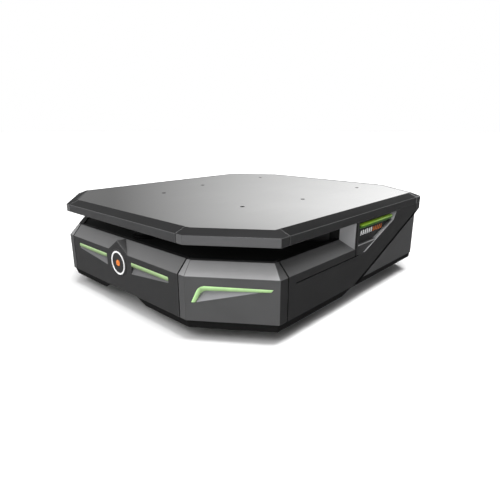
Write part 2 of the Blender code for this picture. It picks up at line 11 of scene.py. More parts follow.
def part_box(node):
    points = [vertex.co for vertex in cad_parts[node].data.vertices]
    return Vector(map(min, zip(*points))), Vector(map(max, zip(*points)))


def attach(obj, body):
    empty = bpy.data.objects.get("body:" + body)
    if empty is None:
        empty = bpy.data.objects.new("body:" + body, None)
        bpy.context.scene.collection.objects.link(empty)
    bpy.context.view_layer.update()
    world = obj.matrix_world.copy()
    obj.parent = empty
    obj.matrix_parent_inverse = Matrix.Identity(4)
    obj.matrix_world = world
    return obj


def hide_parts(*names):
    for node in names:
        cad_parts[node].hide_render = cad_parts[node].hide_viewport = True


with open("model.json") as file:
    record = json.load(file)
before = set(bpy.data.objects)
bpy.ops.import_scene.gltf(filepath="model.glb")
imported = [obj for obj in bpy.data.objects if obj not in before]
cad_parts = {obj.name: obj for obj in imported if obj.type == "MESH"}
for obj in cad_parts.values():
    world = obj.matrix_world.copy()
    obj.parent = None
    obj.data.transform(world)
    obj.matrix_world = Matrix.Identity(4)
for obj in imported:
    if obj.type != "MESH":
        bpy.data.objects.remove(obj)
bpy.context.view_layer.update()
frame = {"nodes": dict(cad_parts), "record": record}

MM = 0.001
SIDES = ((1, "left"), (-1, "right"))


def corners(node):
    """A CAD node's lowest and highest corner."""
    return [Vector(p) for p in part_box(node)]


# -------- sizes read from the frame

deck_low, deck_high = corners("deck_plate")
rim_low, rim_high = corners("deck_rim")
panel_low, panel_high = corners("front_panel")

HALF_X, HALF_Y, DECK_TOP = deck_high
DECK_UNDER = deck_low.z
OUTER = rim_high.x - HALF_X
RIM_BOTTOM = rim_low.z
SLOPE_TOP = panel_high.z
PANEL_BOTTOM = panel_low.z
FRONT_SEAM = panel_high.x + 0.6 * MM
SIDE_SEAM = corners("corner_panel_left")[1].y + 0.6 * MM
REAR_SEAM = corners("side_panel_left")[1].y
QUARTER_BOTTOM = corners("rear_quarter_left")[0].z
SKIRT_BOTTOM = corners("skirt")[0].z
REAR_SKIRT_BOTTOM = min(v.co.z for v in frame["nodes"]["skirt"].data.vertices if v.co.y > HALF_Y / 2)
FRONT_Y = -(HALF_Y + OUTER)
JOINTS = {joint["child"]: joint for joint in frame["record"]["behaviour"]["joints"]}

# Where the deck's outline turns into its cut corners, and those corners' plane.
deck_points = [v.co for v in frame["nodes"]["deck_plate"].data.vertices]
TURN_X = max(p.x for p in deck_points if p.y < -HALF_Y + 0.1 * MM)
TURN_Y = -min(p.y for p in deck_points if p.x > HALF_X - 0.1 * MM)
CUT_X, CUT_Y = HALF_X - TURN_X, HALF_Y - TURN_Y
CUT = math.hypot(CUT_X, CUT_Y)
CORNER_N = Vector((CUT_Y / CUT, -CUT_X / CUT, 0))
CORNER_REACH = CORNER_N.dot(Vector((TURN_X, -HALF_Y, 0)))

# -------- sizes of the looks alone

SHEET = 3 * MM
SEAM = 1.9 * MM
RIM_BREAK = DECK_TOP - 9.7 * MM
SLOPE_OFFSET = 4.1 * MM
BELT = SLOPE_TOP - 29.2 * MM
SLOT_END = -54 * MM
SLOT_DEPTH = 35 * MM
GROOVE_START = -87 * MM
GROOVE_TOP = 192 * MM
GROOVE_SLOPE = (GROOVE_TOP - SKIRT_BOTTOM) / (REAR_SEAM - GROOVE_START)
GROOVE_WIDTH = 9 * MM
LINE_SINK = 2.2 * MM
POCKET_DEPTH = 12 * MM
LEDGE_SINK = 2.5 * MM
LAMP_TILT = 0.45
RECESS_END_TILT = 0.78
# How far the lamps' painted highlight fades in from their edges.
LAMP_FADE = 8.5 * MM
REAR_INSET = 25 * MM
REAR_Y = HALF_Y + OUTER - REAR_INSET
REAR_BAND_BOTTOM = 202 * MM
REAR_BODY_TOP = 188 * MM
BUTTON_BORE = 8.5 * MM
BADGE_HEIGHT = 122 * MM
HOLES = [(s * x, y) for x, y in ((0.173, -0.200), (0.221, 0.005), (0.222, 0.323)) for s in (1, -1)]
HOLE_RADIUS = 5.6 * MM
ROLLERS = 8

# These are in millimetres, for in_metres.
FRONT_STRIP_TOP = 135
# The corner lamp's painted highlight fades down from this height.
CORNER_HIGHLIGHT_TOP = 131.2
CORNER_STRIP_EDGE = (
    (-88.4, 92.6), (-76, 120), (-72.5, 125), (-67, 129), (-59, 131), (88, 129.5), (83, 123.2))
VENT_X, VENT_PITCH = 213, 11
VENT_LOW, VENT_HIGH = 104, 134


def in_metres(*points):
    """An outline or a profile given in millimetres."""
    return [(u * MM, v * MM) for u, v in points]


def rectangle(left, right, low, high):
    """A rectangular outline given in millimetres."""
    return in_metres((left, low), (right, low), (right, high), (left, high))


# -------- stations round the platform


def front_turn(offset, inset=0.0):
    """Where the cut corner meets the front or rear face, as positive x and y."""
    y = HALF_Y + offset - inset
    return (CORNER_REACH + offset - inset + CORNER_N.y * y) / CORNER_N.x, y


def side_turn(offset, inset=0.0):
    """Where the cut corner meets the side face, as positive x and y."""
    x = HALF_X + offset
    return x, -(CORNER_REACH + offset - inset - CORNER_N.x * x) / CORNER_N.y


CORNER_MIDDLE = [(a + b) / 2 for a, b in zip(front_turn(OUTER), side_turn(OUTER))]


def at_turn(turn, side, end, inset=0.0):
    """A station is a function that places an offset and a height of a section as x and y."""
    def station(offset, height):
        x, y = turn(offset, inset)
        return side * x, end * y
    return station


def on_front(x, end=-1):
    return lambda offset, height: (x, end * (HALF_Y + offset))


def on_side(y, side=1):
    return lambda offset, height: (side * (HALF_X + offset), y)


def front_corner(side):
    return [at_turn(front_turn, side, -1), at_turn(side_turn, side, -1)]


def rear_corner(side, inset=0.0):
    return [at_turn(side_turn, side, 1, inset), at_turn(front_turn, side, 1, inset)]


def all_round(rear_inset=0.0):
    """Stations once round the whole platform."""
    left, right = (front_corner(side) + rear_corner(side, rear_inset) for side in (1, -1))
    return left + right[::-1]


# -------- faces


def face_frame(origin, across, outward):
    """Matrix from a face's own u (across), v (up) and w (outward) to the robot's frame."""
    across, outward = Vector(across).normalized(), Vector(outward).normalized()
    up = Vector((0, 0, 1))
    return Matrix((
        (across.x, up.x, outward.x, origin[0]), (across.y, up.y, outward.y, origin[1]),
        (across.z, up.z, outward.z, origin[2]), (0, 0, 0, 1)))


DECK_FACE = Matrix.Identity(4)
FRONT_FACE = face_frame((0, FRONT_Y, 0), (1, 0, 0), (0, -1, 0))
REAR_FACE = face_frame((0, REAR_Y, 0), (-1, 0, 0), (0, 1, 0))


# -------- building


def settle(piece):
    """Applies a piece's modifiers to its mesh."""
    bpy.context.view_layer.update()
    ready = piece.evaluated_get(bpy.context.evaluated_depsgraph_get())
    mesh = bpy.data.meshes.new_from_object(ready)
    piece.modifiers.clear()
    piece.data = mesh
    return piece


def place(name, work):
    bmesh.ops.recalc_face_normals(work, faces=work.faces)
    mesh = bpy.data.meshes.new(name)
    work.to_mesh(mesh)
    work.free()
    piece = bpy.data.objects.new(name, mesh)
    bpy.context.scene.collection.objects.link(piece)
    return piece


def sweep(name, section, stations, closed=False):
    """A closed section of (offset, height) points carried along mitred stations."""
    work = bmesh.new()
    rings = [[work.verts.new((*station(o, z), z)) for o, z in section] for station in stations]
    count = len(section)
    pairs = list(zip(rings, rings[1:]))
    if closed:
        pairs.append((rings[-1], rings[0]))
    for first, second in pairs:
        for i in range(count):
            j = (i + 1) % count
            work.faces.new((first[i], first[j], second[j], second[i]))
    if not closed:
        work.faces.new(rings[0])
        work.faces.new(rings[-1])
    return place(name, work)


def join_loops(work, first, second):
    """The faces of a closed solid between two outlines of the same count."""
    work.faces.new(first)
    work.faces.new(second)
    for i in range(len(first)):
        j = (i + 1) % len(first)
        work.faces.new((first[i], first[j], second[j], second[i]))


def slab(name, outline, face, low, high):
    """A flat outline in a face's own u and v, filled between two distances out from the face."""
    work = bmesh.new()
    loops = [[work.verts.new(face @ Vector((u, v, w))) for u, v in outline] for w in (low, high)]
    join_loops(work, *loops)
    return place(name, work)


def wedge(name, outline, hinge, tilt, face, thickness):
    """A flat sheet that sinks deeper into the face the further it is from its hinge line."""
    start, end = Vector(hinge[0]), Vector(hinge[1])
    along = (end - start).normalized()
    work = bmesh.new()
    front, back = [], []
    for u, v in outline:
        away = Vector((u, v)) - start
        depth = abs(along.x * away.y - along.y * away.x) * tilt + 0.3 * MM
        front.append(work.verts.new(face @ Vector((u, v, -depth))))
        back.append(work.verts.new(face @ Vector((u, v, -depth - thickness))))
    join_loops(work, front, back)
    return place(name, work)


def rod(name, start, end, radius, sides=48):
    start, end = Vector(start), Vector(end)
    along = end - start
    spin = along.to_track_quat("Z", "Y")
    work = bmesh.new()
    bmesh.ops.create_cone(
        work, cap_ends=True, segments=sides, radius1=radius, radius2=radius,
        depth=along.length, matrix=Matrix.LocRotScale((start + end) / 2, spin, None),
    )
    return place(name, work)


def lathe(name, profile, matrix, sides=48):
    """A closed profile of (radius, height) points turned about the matrix's Z."""
    work = bmesh.new()
    turns = [2 * math.pi * i / sides for i in range(sides)]
    rings = []
    for radius, height in profile:
        rings.append([
            work.verts.new(matrix @ Vector((radius * math.cos(a), radius * math.sin(a), height)))
            for a in (turns if radius else turns[:1])])
    pairs = list(zip(rings, rings[1:]))
    if len(rings[0]) > 1:
        pairs.append((rings[-1], rings[0]))
    for first, second in pairs:
        for i in range(sides):
            j = (i + 1) % sides
            quad = [first[i % len(first)], first[j % len(first)], second[j % len(second)],
                    second[i % len(second)]]
            work.faces.new(list(dict.fromkeys(quad)))
    return place(name, work)


def combine(piece, others, operation="DIFFERENCE"):
    """Cuts a piece by others, or does another boolean operation with them. The others are used up."""
    for other in others:
        step = piece.modifiers.new(other.name, "BOOLEAN")
        step.operation = operation
        step.solver = "EXACT"
        step.object = other
    settle(piece)
    for other in others:
        bpy.data.objects.remove(other)
    return piece


def bundle(name, pieces):
    """Several pieces as one object."""
    work = bmesh.new()
    for piece in pieces:
        work.from_mesh(piece.data)
        bpy.data.objects.remove(piece)
    return place(name, work)


def smooth(piece, angle=35):
    """Smooth shading, except at edges sharper than the angle."""
    piece.data.shade_smooth()
    piece.data.set_sharp_from_angle(angle=math.radians(angle))
    return piece


def soften(piece, width, segments=2, angle=25, edge=None):
    """Small rounded edges, painted with a highlight look if one is given, and smooth shading that keeps flats
    flat.
    """
    bevel = piece.modifiers.new("edges", "BEVEL")
    # The edge look is a painted highlight on the rounded edges.
    if edge:
        piece.data.materials.clear()
        for _ in range(2):
            piece.data.materials.append(edge)
        bevel.material = 1
    bevel.width = width
    bevel.segments = segments
    bevel.limit_method = "ANGLE"
    bevel.angle_limit = math.radians(angle)
    bevel.use_clamp_overlap = True
    bevel.harden_normals = True
    piece.data.shade_smooth()
    settle(piece)
    return piece


def dress(piece, look, body="chassis", stands_for=()):
    """Gives a piece its material, its body and the CAD nodes that it stands for."""
    if len(piece.data.materials) == 0:
        piece.data.materials.append(look)
    piece.data.materials[0] = look
    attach(piece, body)
    for node in stands_for:
        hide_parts(node)
    return piece


def paint(piece, look, wanted):
    """Gives another material to the faces that are wanted, except to the rounded edges."""
    piece.data.materials.append(look)
    slot = len(piece.data.materials) - 1
    for face in piece.data.polygons:
        if face.material_index == 0 and wanted(face):
            face.material_index = slot


# -------- materials


class Tree:
    """Short ways to add nodes to a shader tree. A value is a number or another node's output."""

    def __init__(self, tree):
        self.nodes, self.links = tree.nodes, tree.links

    def feed(self, sockets, values):
        for socket, value in zip(sockets, values):
            if isinstance(value, (int, float)):
                socket.default_value = value
            else:
                self.links.new(value, socket)

    def math(self, operation, first, second):
        node = self.nodes.new("ShaderNodeMath")
        node.operation = operation
        self.feed(node.inputs, (first, second))
        return node.outputs["Value"]

    def ramp(self, value, start, end, low, high, kind="LINEAR"):
        """Runs from low to high while the value runs from start to end."""
        node = self.nodes.new("ShaderNodeMapRange")
        node.interpolation_type = kind
        self.feed(node.inputs, (value, start, end, low, high))
        return node.outputs["Result"]

    def ease(self, value, start, end, low, high):
        return self.ramp(value, start, end, low, high, "SMOOTHSTEP")

    def dot(self, vector, direction):
        node = self.nodes.new("ShaderNodeVectorMath")
        node.operation = "DOT_PRODUCT"
        node.inputs[1].default_value = direction
        self.links.new(vector, node.inputs[0])
        return node.outputs["Value"]


# The span that most of a noise's values keep within.
NOISE_RANGE = (0.3, 0.7)


class Look(Tree):
    """A Principled material whose sockets are driven by noise in object space."""

    def __init__(self, name, colour, roughness, metallic=0.0, ior=1.5):
        self.material = bpy.data.materials.new(name)
        self.material.use_nodes = True
        super().__init__(self.material.node_tree)
        self.shader = self.nodes["Principled BSDF"]
        self.colour = (*colour, 1)
        values = {"Base Color": self.colour, "Roughness": roughness, "Metallic": metallic, "IOR": ior}
        for socket, value in values.items():
            self.shader.inputs[socket].default_value = value
        self.place = self.nodes.new("ShaderNodeTexCoord").outputs["Object"]

    def noise(self, scale, detail, stretch=(1, 1, 1)):
        mapping = self.nodes.new("ShaderNodeMapping")
        mapping.inputs["Scale"].default_value = stretch
        self.links.new(self.place, mapping.inputs["Vector"])
        node = self.nodes.new("ShaderNodeTexNoise")
        for socket, value in (("Scale", scale), ("Detail", detail), ("Roughness", 0.55)):
            node.inputs[socket].default_value = value
        self.links.new(mapping.outputs["Vector"], node.inputs["Vector"])
        return node.outputs["Fac"]

    def spread(self, noise, low, high):
        return self.ramp(noise, *NOISE_RANGE, low, high)

    def distance(self, planes):
        """How far a point lies from the nearest of some planes, each a normal and an offset. Both sides of
        the robot are folded onto one."""
        fold = self.nodes.new("ShaderNodeVectorMath")
        fold.operation = "ABSOLUTE"
        self.links.new(self.place, fold.inputs[0])
        nearest, *others = [
            self.math("ADD", self.dot(fold.outputs["Vector"], normal), offset) for normal, offset in planes]
        for other in others:
            nearest = self.math("MINIMUM", nearest, other)
        return nearest

    def tint(self, value, darker, lighter):
        """Colour that runs between a darker and a lighter version of the base colour."""
        ramp = self.nodes.new("ShaderNodeValToRGB")
        for stop, amount, at in zip(ramp.color_ramp.elements, (darker, lighter), NOISE_RANGE):
            stop.position = at
            stop.color = (*[min(1, c * amount) for c in self.colour[:3]], 1)
        self.links.new(value, ramp.inputs["Fac"])
        self.links.new(ramp.outputs["Color"], self.shader.inputs["Base Color"])

    def vary_roughness(self, value, low, high):
        self.links.new(self.spread(value, low, high), self.shader.inputs["Roughness"])

    def bump(self, value, strength, distance):
        node = self.nodes.new("ShaderNodeBump")
        node.inputs["Strength"].default_value = strength
        node.inputs["Distance"].default_value = distance
        self.links.new(value, node.inputs["Height"])
        self.links.new(node.outputs["Normal"], self.shader.inputs["Normal"])


def casing_look(name, colour, roughness=0.42, ior=1.45):
    """Painted moulding: a fine orange-peel texture, faint mottling and slightly uneven gloss."""
    look = Look(name, colour, roughness, ior=ior)
    grain = look.noise(1400, 2)
    cloud = look.noise(9, 5)
    look.tint(cloud, 0.93, 1.07)
    look.vary_roughness(cloud, roughness - 0.05, roughness + 0.05)
    look.bump(grain, 0.12, 0.15 * MM)
    return look.material


def deck_look():
    """Fine-ground aluminium: long faint grinding lines, soft clouds of gloss."""
    look = Look("ground_aluminium", (0.70, 0.70, 0.695), 0.20, 1.0)
    lines = look.noise(260, 3, (1, 0.012, 1))
    cloud = look.noise(5, 4)
    look.tint(lines, 0.97, 1.03)
    look.vary_roughness(cloud, 0.18, 0.20)
    look.bump(lines, 0.05, 0.05 * MM)
    return look.material


def metal_look(name, colour, roughness, scale=400, stretch=(1, 1, 1)):
    """Bare or blackened metal with a machined grain."""
    look = Look(name, colour, roughness, 1.0)
    grain = look.noise(scale, 3, stretch)
    look.tint(grain, 0.85, 1.1)
    look.vary_roughness(grain, roughness - 0.07, roughness + 0.1)
    look.bump(grain, 0.15, 0.05 * MM)
    return look.material


def rubber_look():
    """Black rubber with a thin veil of dust."""
    look = Look("roller_rubber", (0.022, 0.022, 0.022), 0.75)
    grain = look.noise(900, 4)
    dust = look.noise(30, 5)
    look.tint(dust, 0.8, 2.2)
    look.vary_roughness(dust, 0.65, 0.85)
    look.bump(grain, 0.35, 0.1 * MM)
    return look.material


def light_look(name, colour, glow_colour, strength, planes=(), low=0.0):
    """A frosted diffuser, lit from behind, slightly uneven along its length. Where planes are given, its glow
    is strongest at them and fades to the low strength: a painted highlight along the strip's edges."""
    look = Look(name, colour, 0.35)
    cloud = look.noise(40, 2)
    look.tint(cloud, 0.92, 1.06)
    look.shader.inputs["Emission Color"].default_value = (*glow_colour, 1)
    glow = look.spread(cloud, strength * 0.9, strength * 1.1)
    # The fade from the planes is a painted highlight.
    if planes:
        fade = look.ramp(look.distance(planes), 0, LAMP_FADE, 1, low / strength)
        glow = look.math("MULTIPLY", glow, fade)
    look.links.new(glow, look.shader.inputs["Emission Strength"])
    look.bump(look.noise(1600, 2), 0.1, 0.1 * MM)
    return look.material


def plain_look(name, colour, roughness, metallic=0.0, ior=1.45):
    """Plain plastic or paint with a little grain."""
    look = Look(name, colour, roughness, metallic, ior)
    grain = look.noise(700, 3)
    look.tint(grain, 0.9, 1.1)
    look.vary_roughness(grain, roughness - 0.05, roughness + 0.05)
    look.bump(grain, 0.15, 0.1 * MM)
    return look.material


def leg_plane():
    """The plane through the outer edge of a corner strip's short leg, as a normal and an offset."""
    start, end = (Vector(point) for point in in_metres(*CORNER_STRIP_EDGE[:2]))
    along = (end - start).normalized()
    normal = Vector((along.y * CUT_X / CUT, -along.y * CUT_Y / CUT, -along.x))
    return normal, -normal.xy.dot(Vector(CORNER_MIDDLE)) - along.y * start.x + along.x * start.y


def plane_below(height):
    """A level plane at a height in millimetres, for the distance down from it."""
    return (0, 0, -1), height * MM


DECK = deck_look()
CASING = casing_look("dark_casing", (0.028, 0.028, 0.0286))
# Painted light: a lighter copy of the casing's grey for the corner panels, which face the light.
CASING_LIT = casing_look("grey_casing", (0.069, 0.069, 0.070))
QUARTER_GREY = casing_look("quarter_grey", (0.050, 0.050, 0.051))
RIM_DARK = casing_look("rim_dark", (0.043, 0.043, 0.044))
# Lit and shaded copies of the rim's grey: lighter on the front corners, darker on the side-facing faces, the
# top slope and the rear corners, as light falls on them.
RIM_SIDE_SHADE = casing_look("rim_side_painted_shade", (0.022, 0.022, 0.0225), 0.42, 1.35)
RIM_CORNER_LIT = casing_look("rim_corner_painted_lit", (0.093, 0.093, 0.095))
RIM_SLOPE_SHADE = casing_look("rim_top", (0.0145, 0.0145, 0.0148), 0.5, 1.22)
RIM_DEEP_SHADE = casing_look("rim_top_side", (0.010, 0.010, 0.0102), 0.5, 1.14)
# Painted light and shade: lighter copies of the casing's grey for the upward slopes, a darker one for the
# side-facing faces.
SLOPE_FRONT_LIT = casing_look("front_slope_painted_lit", (0.102, 0.102, 0.103))
CASING_SIDE_SHADE = casing_look("casing_side_painted_shade", (0.0185, 0.0185, 0.0189))
SLOPE_SIDE_LIT = casing_look("dark_slope", (0.061, 0.061, 0.0615))
SLOPE_CORNER_LIT = casing_look("corner_slope_painted_lit", (0.215, 0.215, 0.217))
# Painted highlight: a light grey on the rounded edges, so that they read as lit lines.
EDGE = casing_look("painted_edge_highlight", (0.062, 0.062, 0.063), 0.4)
# Painted highlight: a lighter grey on the rounded edges of the rim's rear corners.
RIM_EDGE_HIGHLIGHT = casing_look("rim_painted_edge_highlight", (0.17, 0.17, 0.173), 0.4)
# Black plastic for the skirt and the charging plate; the same black is painted shade on sheets and parts in
# the slot and behind the vents.
BLACK = plain_look("black_plastic", (0.008, 0.008, 0.008), 0.6, ior=1.2)
# Painted shade: near-black for gaps, sunk lines and holes, so that they read dark.
SHADE_BLACK = plain_look("painted_shade_black", (0.002, 0.002, 0.002), 0.7, ior=1.1)
BAY_BLACK = plain_look("bay_black", (0.025, 0.025, 0.025), 0.6)
GLOSS_BLACK = plain_look("scanner_window", (0.004, 0.004, 0.005), 0.15)
REFLECTOR = casing_look("reflector_grey", (0.262, 0.262, 0.272), 0.5)
# Painted shade: a darker copy of the wedges' grey for the front lamps, whose wedges face more of the light.
REFLECTOR_SHADE = casing_look("reflector_painted_shade", (0.124, 0.124, 0.128), 0.5)
# Painted highlight: a light grey for small facets and a trim line that catch the light.
LIT_FACET_GREY = casing_look("painted_lit_facet", (0.210, 0.210, 0.215), 0.4)
# The green lamps are brightest along their top and outer edges: a painted highlight that fades inwards.
GREEN = light_look(
    "green_lamp_painted_highlight", (0.18, 0.28, 0.12), (0.50, 0.80, 0.36), 0.88,
    [plane_below(CORNER_HIGHLIGHT_TOP), leg_plane()], 0.05)
GREEN_FRONT = light_look(
    "green_lamp_front_painted_highlight", (0.14, 0.20, 0.09), (0.54, 0.80, 0.38), 0.62, [plane_below(FRONT_STRIP_TOP)])
# Lit and shaded copies of the side bar's green: the upper half lit, the lower half painted shade.
GREEN_BAR = light_look("green_bar_painted_lit", (0.13, 0.25, 0.02), (0.24, 0.40, 0.02), 0.20)
GREEN_BAR_SHADE = light_look("green_bar_painted_shade", (0.03, 0.09, 0.01), (0.06, 0.20, 0.01), 0.10)
WHITE_MARK = plain_look("white_mark", (0.75, 0.75, 0.75), 0.5)
ORANGE_MARK = plain_look("orange_mark", (0.75, 0.20, 0.03), 0.5)
ORANGE_BARS = plain_look("orange_bars", (0.50, 0.13, 0.02), 0.5)
STEEL = metal_look("bare_steel", (0.45, 0.45, 0.46), 0.35)
DARK_STEEL = metal_look("black_oxide", (0.06, 0.06, 0.06), 0.4)
ALLOY = metal_look("machined_alloy", (0.62, 0.62, 0.63), 0.32, 300, (0.2, 1, 1))
COPPER = metal_look("contact_copper", (0.75, 0.38, 0.20), 0.3)
MOTOR = plain_look("motor_black", (0.03, 0.03, 0.03), 0.4, 0.6)
RUBBER = rubber_look()
BATTERY = plain_look("battery_case", (0.03, 0.06, 0.12), 0.5)
STOP_RED = plain_look("stop_red", (0.55, 0.015, 0.015), 0.3)
YELLOW = plain_look("stop_yellow", (0.75, 0.50, 0.02), 0.4)


# -------- deck


def make_deck():
    half = [station(0, 0) for station in front_corner(1) + rear_corner(1)]
    outline = half + [(-x, y) for x, y in reversed(half)]
    plate = slab("deck_plate_ground", outline, DECK_FACE, DECK_UNDER, DECK_TOP)
    cutters = [
        rod(f"hole_{i}", (x, y, DECK_UNDER - MM), (x, y, DECK_TOP + MM), HOLE_RADIUS, 40)
        for i, (x, y) in enumerate(HOLES)]
    combine(plate, cutters)
    dress(soften(plate, 0.7 * MM, 3), DECK, stands_for=["deck_plate"])
    cup = in_metres(
        (0, -4.8), (2.2, -4.8), (2.2, -1.8), (2.6, -1.6), (4.0, -1.6), (4.4, -1.3), (4.7, -0.1), (5.2, 0.3),
        (6.3, 0.2), (6.4, -0.1), (5.4, -0.2), (5.4, -6.2), (0, -6.2))
    for i, (x, y) in enumerate(HOLES):
        screw = lathe(f"deck_screw_{i}", cup, Matrix.Translation((x, y, DECK_TOP)), 24)
        # The screws are painted shade black, so that the holes read dark.
        dress(smooth(screw, 30), SHADE_BLACK)


def rim_section():
    ledge = DECK_UNDER - 0.3 * MM
    inner = OUTER - SHEET
    return (
        (OUTER, RIM_BOTTOM), (OUTER, RIM_BREAK),
        (4 * MM, DECK_TOP + 0.7 * MM), (1.5 * MM, DECK_TOP + 0.9 * MM),
        (1.5 * MM, ledge), (-18 * MM, ledge), (-18 * MM, ledge - SHEET),
        (20.1 * MM, ledge - SHEET), (inner, RIM_BREAK - 2.2 * MM), (inner, RIM_BOTTOM),
    )


def make_rim():
    front, side, rear = FRONT_SEAM - SEAM / 2, SIDE_SEAM + SEAM / 2, REAR_SEAM - SEAM / 2
    # The front and rear keep the rim's grey; the corners and sides get lit and shaded copies of it, by the
    # way they face the light.
    segments = [
        ("front", RIM_DARK, [on_front(-front), on_front(front)]),
        ("rear", RIM_DARK, [on_front(front, 1), on_front(-front, 1)])]
    for s, word in SIDES:
        segments += [
            (f"side_{word}", RIM_SIDE_SHADE, [on_side(side, s), on_side(rear, s)]),
            (f"front_corner_{word}", RIM_CORNER_LIT, [
                on_front(s * (front + SEAM)), *front_corner(s), on_side(side - SEAM, s)]),
            (f"rear_corner_{word}", RIM_DEEP_SHADE, [
                on_side(rear + SEAM, s), *rear_corner(s), on_front(s * (front + SEAM), 1)])]
    for name, look, stations in segments:
        # The rounded edges get a painted highlight, a stronger one on the rear corners.
        width, edge = (1.2 * MM, RIM_EDGE_HIGHLIGHT) if name.startswith("rear_corner") else (0.8 * MM, EDGE)
        piece = soften(sweep(f"rim_{name}", rim_section(), stations), width, edge=edge)
        dress(piece, look, stands_for=["deck_rim"] if name == "front" else [])
        # Painted shade: the top slope and the side-facing faces get darker copies of the rim's grey.
        paint(piece, RIM_DEEP_SHADE if name.startswith("side") else RIM_SLOPE_SHADE,
              lambda face: face.normal.z > 0.8 and face.center.z > RIM_BREAK)
        paint(piece, RIM_SIDE_SHADE, lambda face: abs(face.normal.x) > 0.98)
    # A black lining under the rim: painted shade in the slot.
    inner = OUTER - 2 * MM
    lining = sweep("rim_lining", (
        (inner, RIM_BOTTOM + MM), (inner, RIM_BREAK - 1.2 * MM), (8 * MM, DECK_TOP - 5 * MM),
        (8 * MM, DECK_TOP - 8 * MM), (inner - 2 * MM, RIM_BREAK - 3 * MM), (inner - 2 * MM, RIM_BOTTOM + MM),
    ), all_round(), closed=True)
    dress(lining, BLACK)


# -------- casing


def body_section():
    inner = OUTER - SHEET
    return (
        (OUTER, PANEL_BOTTOM), (OUTER, BELT), (SLOPE_OFFSET, SLOPE_TOP), (-8 * MM, SLOPE_TOP),
        (-8 * MM, SLOPE_TOP - SHEET), (2.8 * MM, SLOPE_TOP - SHEET), (inner, BELT - 1.2 * MM),
        (inner, PANEL_BOTTOM),
    )


def make_lamp(name, face, side, shapes, light, tray_look):
    """A light strip at the edge of a sunken wedge, from shapes drawn for the left side: the strip, its
    opening, the wedge's sheet and the line it is hinged on. Returns the cutter for the opening."""
    strip, pocket, sheet, hinge = [[(side * u, v) for u, v in shape] for shape in shapes]
    bar = soften(slab(f"{name}_strip", strip, face, -9 * MM, 0.5 * MM), 1.2 * MM, 3)
    dress(bar, light)
    tray = wedge(f"{name}_wedge", sheet, hinge, LAMP_TILT, face, 3 * MM)
    dress(soften(tray, 0.3 * MM), tray_look)
    return slab(f"{name}_opening", pocket, face, -25 * MM, 5 * MM)


def on_slope(face):
    return 0.4 < face.normal.z < 0.9 and BELT - MM < face.center.z < SLOPE_TOP


def make_front_panel():
    reach = FRONT_SEAM - SEAM
    panel = sweep("front_shell", body_section(), [on_front(-reach), on_front(reach)])
    half = 45 * MM
    gable = slab("gable", [
        (-half, BELT - 2 * MM), (half, BELT - 2 * MM), (half, BELT), (0, SLOPE_TOP), (-half, BELT)],
        FRONT_FACE, SLOPE_OFFSET - OUTER - MM, 0)
    combine(panel, [gable], "UNION")
    top = FRONT_STRIP_TOP
    strip = in_metres((58, 125), (58.5, top), (205, top), (207, 133), (207, 125.5))
    pocket = in_metres((57, 105), (57, top), (205, top), (207, 133), (207, 121.5))
    sheet = in_metres((57, 105), (57, 126), (207, 126), (207, 121.5))
    hinge = in_metres((57, 105), (207, 121.5))
    shapes = strip, pocket, sheet, hinge
    # The front lamps' wedges get the shaded copy of the wedge grey.
    cutters = [
        make_lamp(f"front_lamp_{word}", FRONT_FACE, side, shapes, GREEN_FRONT, REFLECTOR_SHADE)
        for side, word in SIDES]
    combine(panel, cutters)
    # The rounded edges get a painted highlight and the slope a lighter copy of the casing's grey, as light
    # falls on it.
    dress(soften(panel, 0.8 * MM, edge=EDGE), CASING, stands_for=["front_panel"])
    paint(panel, SLOPE_FRONT_LIT, on_slope)


def corner_face(side):
    x, y = CORNER_MIDDLE
    return face_frame((side * x, -y, 0), (CUT_X, side * CUT_Y, 0), (side * CORNER_N.x, CORNER_N.y, 0))


def make_corner_panels():
    outer = CORNER_STRIP_EDGE
    strip = in_metres(*outer, (-54, 121.2), (-60, 119.7), (-65, 116.2), (-68.5, 111.5), (-78.8, 92.6))
    pocket = in_metres(*outer, (57, 121.8), (-77, 93.4), (-78.8, 92.6))
    sheet = in_metres((-77, 93.6), (57, 121.8), (58, 123.2), (-55, 123.2), (-66.5, 117))
    hinge = in_metres((-77, 93.4), (57, 121.8))
    shapes = strip, pocket, sheet, hinge
    for side, word in SIDES:
        panel = sweep(f"corner_shell_{word}", body_section(), [
            on_front(side * (FRONT_SEAM + SEAM)), *front_corner(side), on_side(SIDE_SEAM - SEAM, side)])
        cutter = make_lamp(f"corner_lamp_{word}", corner_face(side), side, shapes, GREEN, REFLECTOR)
        combine(panel, [cutter])
        # Painted light and shade: a highlight on the rounded edges, a lighter grey for the corner, lit copies
        # on the slopes and a shaded copy on the side-facing faces.
        soften(panel, 0.8 * MM, edge=EDGE)
        dress(panel, CASING_LIT, stands_for=[f"corner_panel_{word}"])
        paint(panel, SLOPE_SIDE_LIT, lambda face: on_slope(face) and abs(face.normal.y) < 0.1)
        paint(panel, SLOPE_CORNER_LIT, on_slope)
        paint(panel, CASING_SIDE_SHADE, lambda face: abs(face.normal.x) > 0.98)


def groove_height(y):
    return SKIRT_BOTTOM + (y - GROOVE_START) * GROOVE_SLOPE


def groove_y(height):
    return GROOVE_START + (height - SKIRT_BOTTOM) / GROOVE_SLOPE


def side_face(side):
    """u runs towards the rear on both sides."""
    return face_frame((side * (HALF_X + OUTER), 0, 0), (0, 1, 0), (side, 0, 0))


